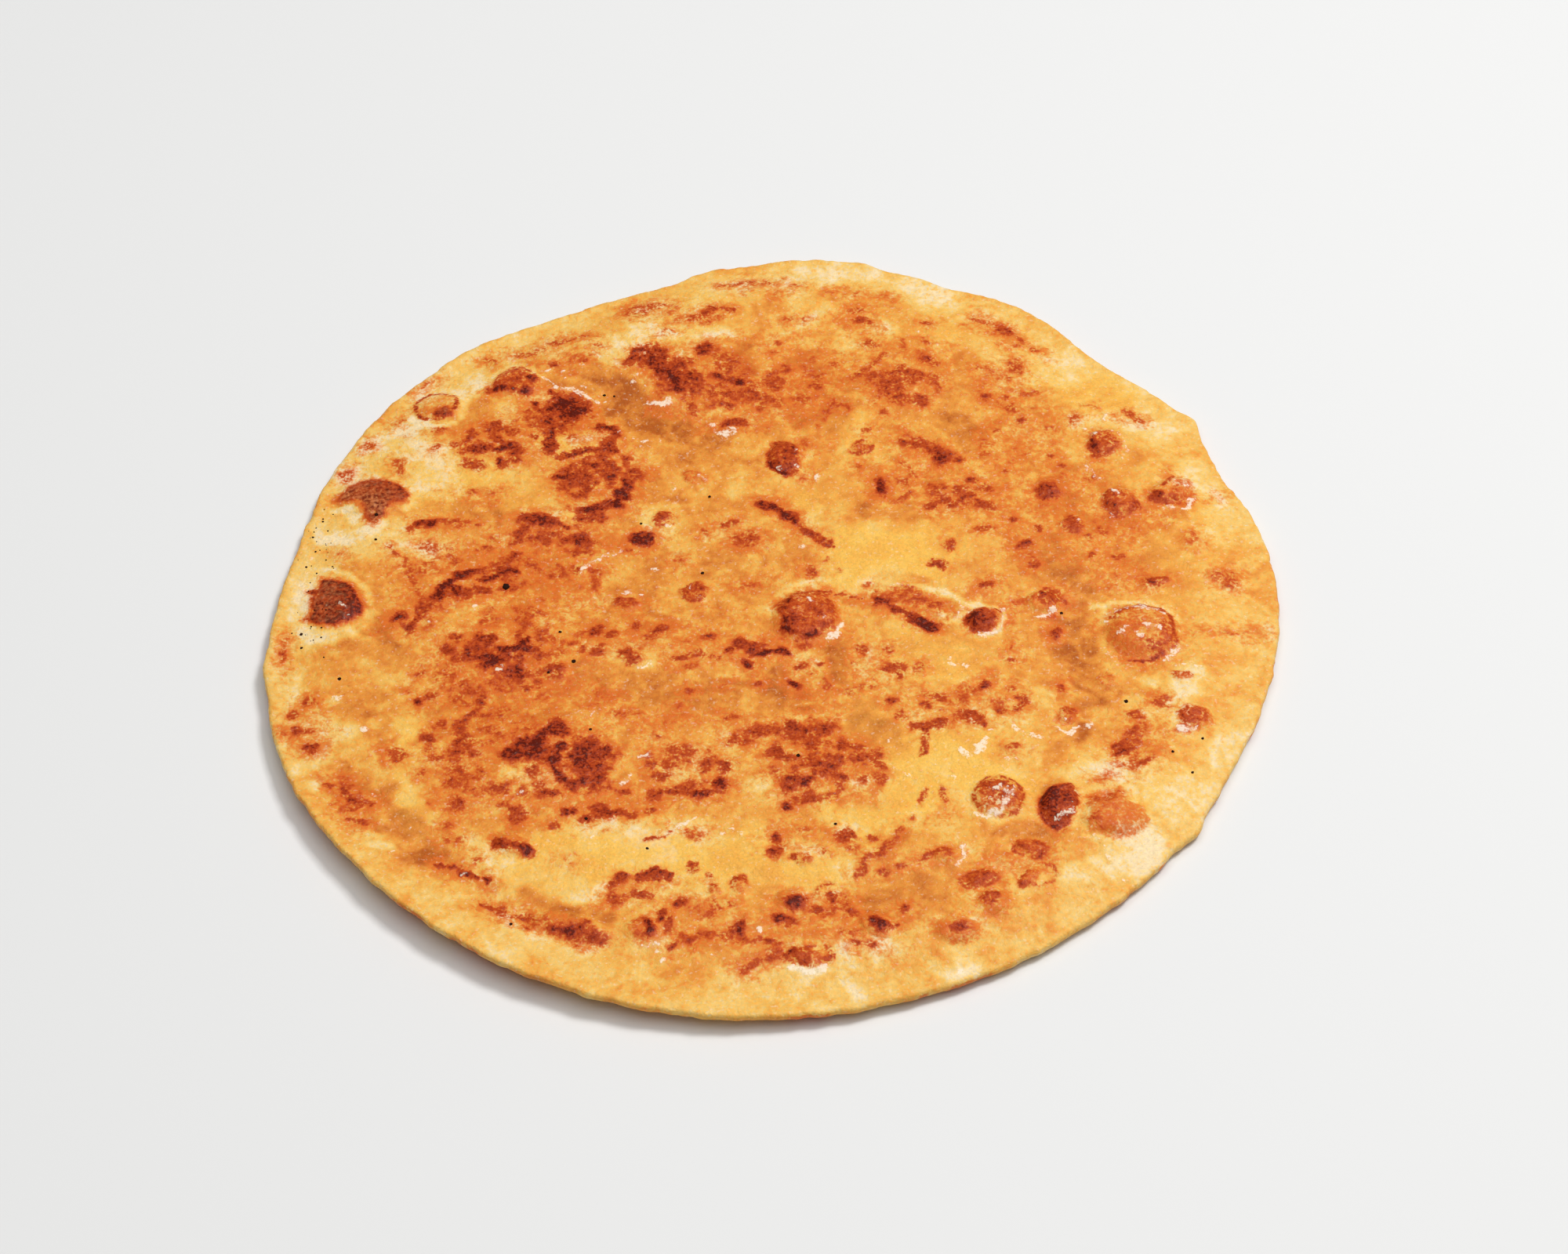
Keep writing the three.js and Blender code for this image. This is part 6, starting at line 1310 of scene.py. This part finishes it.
# %% Model the specks
SPECK_UP = 0.10                  # a speck's middle over the skin, as a share of its radius
SPECK_FLAT = 0.55
SPECK_UNEVEN = (0.72, 1.15)
top_points = placed[on_top]
lumps = []
for x, y, size in SPECKS:
    target = np.array([x - MIDDLE_X, y - MIDDLE_Y]) * MM
    nearest = np.argmin(((top_points[:, :2] - target) ** 2).sum(axis=1))
    seat = float(top_points[nearest, 2]) + SPECK_UP * size * MM
    bpy.ops.object.select_all(action="DESELECT")
    bpy.ops.mesh.primitive_ico_sphere_add(
        subdivisions=2, radius=size * MM, location=(target[0], target[1], seat))
    lump = bpy.context.object
    for point in lump.data.vertices:
        point.co *= float(speck_rng.uniform(*SPECK_UNEVEN))
        point.co.z *= SPECK_FLAT
    lumps.append(lump)
for lump in lumps:
    lump.select_set(True)
bpy.context.view_layer.objects.active = lumps[0]
bpy.ops.object.join()
bpy.ops.object.transform_apply(location=True, rotation=True, scale=True)
bpy.ops.object.shade_smooth()
specks = bpy.context.object
specks.name = "burnt_flour"
specks.data.name = "burnt_flour"
print("specks:", len(lumps), "triangles:", len(specks.data.polygons))

# %% Burnt flour: charred starch, matt and nearly black
SOOT_MM = 0.25                   # lumps of soot on a crumb
SOOT_DARK = linear("#170c08")
SOOT_LIGHT = linear("#3a1a0e")
burnt = bpy.data.materials.new("charred flour")
burnt.use_nodes = True
tree = burnt.node_tree
place = add_node(tree, "TexCoord", out="Object")
crumbs = add_node(tree, "TexNoise", {"Vector": place, "Scale": 1.0 / (SOOT_MM * MM), "Detail": 2.0})
soot = add_node(tree, "Mix", {0: crumbs, 6: SOOT_DARK, 7: SOOT_LIGHT}, out=2, data_type="RGBA")
rough_soot = add_node(tree, "Bump", {"Height": crumbs, "Strength": 0.5, "Distance": 0.1 * MM})
ash = tree.nodes["Principled BSDF"]
tree.links.new(soot, ash.inputs["Base Color"])
tree.links.new(rough_soot, ash.inputs["Normal"])
ash.inputs["Roughness"].default_value = 0.8
ash.inputs["Specular IOR Level"].default_value = 0.1
specks.data.materials.append(burnt)
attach(specks, "root")
print("material:", burnt.name, len(tree.nodes), "nodes")

# %% [markdown]
# ## Floor, light and camera
# The bread lies on a plain pale floor. One large soft light above gives the even light of a studio,
# and a smaller one, high on the right and a little behind, makes the glints on the sides of the
# blisters that face the viewer.

# %% Floor
FLOOR_SIZE = 6.0                 # metres
FLOOR_DROP = 0.0002              # metres, so that the floor and the underside don't share a plane
bpy.ops.object.select_all(action="DESELECT")
bpy.ops.mesh.primitive_plane_add(size=FLOOR_SIZE, location=(0, 0, -FLOOR_DROP))
floor = bpy.context.object
floor.name = "floor"
pale_floor = bpy.data.materials.new("pale matt floor")
pale_floor.use_nodes = True
floor_shader = pale_floor.node_tree.nodes["Principled BSDF"]
floor_shader.inputs["Base Color"].default_value = linear("#e6e6e5")
floor_shader.inputs["Roughness"].default_value = 0.9
floor_shader.inputs["Specular IOR Level"].default_value = 0.1
floor.data.materials.append(pale_floor)
print("floor:", FLOOR_SIZE, "m wide")

# %% Lights
def soft_light(name, place, size, power, colour=(1.0, 1.0, 1.0)):
    """A square studio light that faces the bread: metres and watts."""
    bpy.ops.object.light_add(type="AREA", location=place)
    light = bpy.context.object
    light.name = name
    light.data.shape = "SQUARE"
    light.data.size = size
    light.data.energy = power
    light.data.color = colour
    toward = -light.location.normalized()
    light.rotation_euler = toward.to_track_quat("-Z", "Y").to_euler()
    print(name, power, "W")


soft_light("large soft light", (0.15, -0.10, 1.9), 2.2, 25.0)
soft_light("small bright light", (0.62, 0.28, 1.35), 0.36, 12.0)
if bpy.context.scene.world is None:
    bpy.context.scene.world = bpy.data.worlds.new("studio")
world = bpy.context.scene.world
world.use_nodes = True
world.node_tree.nodes["Background"].inputs["Color"].default_value = (1.0, 1.0, 1.0, 1.0)
world.node_tree.nodes["Background"].inputs["Strength"].default_value = 0.14
bpy.context.scene.view_settings.view_transform = "Standard"

# %% Camera at the photograph's angle
from mathutils import Matrix, Vector

CAMERA_UP = 49.22                # degrees above the horizon
CAMERA_ROLL = -1.07              # degrees
CAMERA_FAR = 685.9               # millimetres from the point it looks at
LOOK_AT = (1.33, -19.67, 18.41)  # millimetres, placed as the marks are, and up from the floor
LENS = 85.0                      # millimetres, on a full frame
FRAME_WIDE = 36.0
tilt = math.radians(CAMERA_UP)
roll = math.radians(CAMERA_ROLL)
forward = Vector((0.0, math.cos(tilt), -math.sin(tilt)))
right = Vector((1.0, 0.0, 0.0))
upward = right.cross(forward)
rolled_right = right * math.cos(roll) + upward * math.sin(roll)
rolled_up = upward * math.cos(roll) - right * math.sin(roll)
eye = Vector(LOOK_AT) - Vector((MIDDLE_X, MIDDLE_Y, 0.0)) - forward * CAMERA_FAR
bpy.ops.object.camera_add()
camera = bpy.context.object
camera.data.lens = LENS
camera.data.sensor_width = FRAME_WIDE
axes = Matrix((rolled_right, rolled_up, -forward)).transposed()
camera.matrix_world = Matrix.Translation(eye * MM) @ axes.to_4x4()
bpy.context.scene.camera = camera
print("camera, mm:", [round(v, 1) for v in eye])

# %% Bring the scene up to date
bpy.context.view_layer.update()
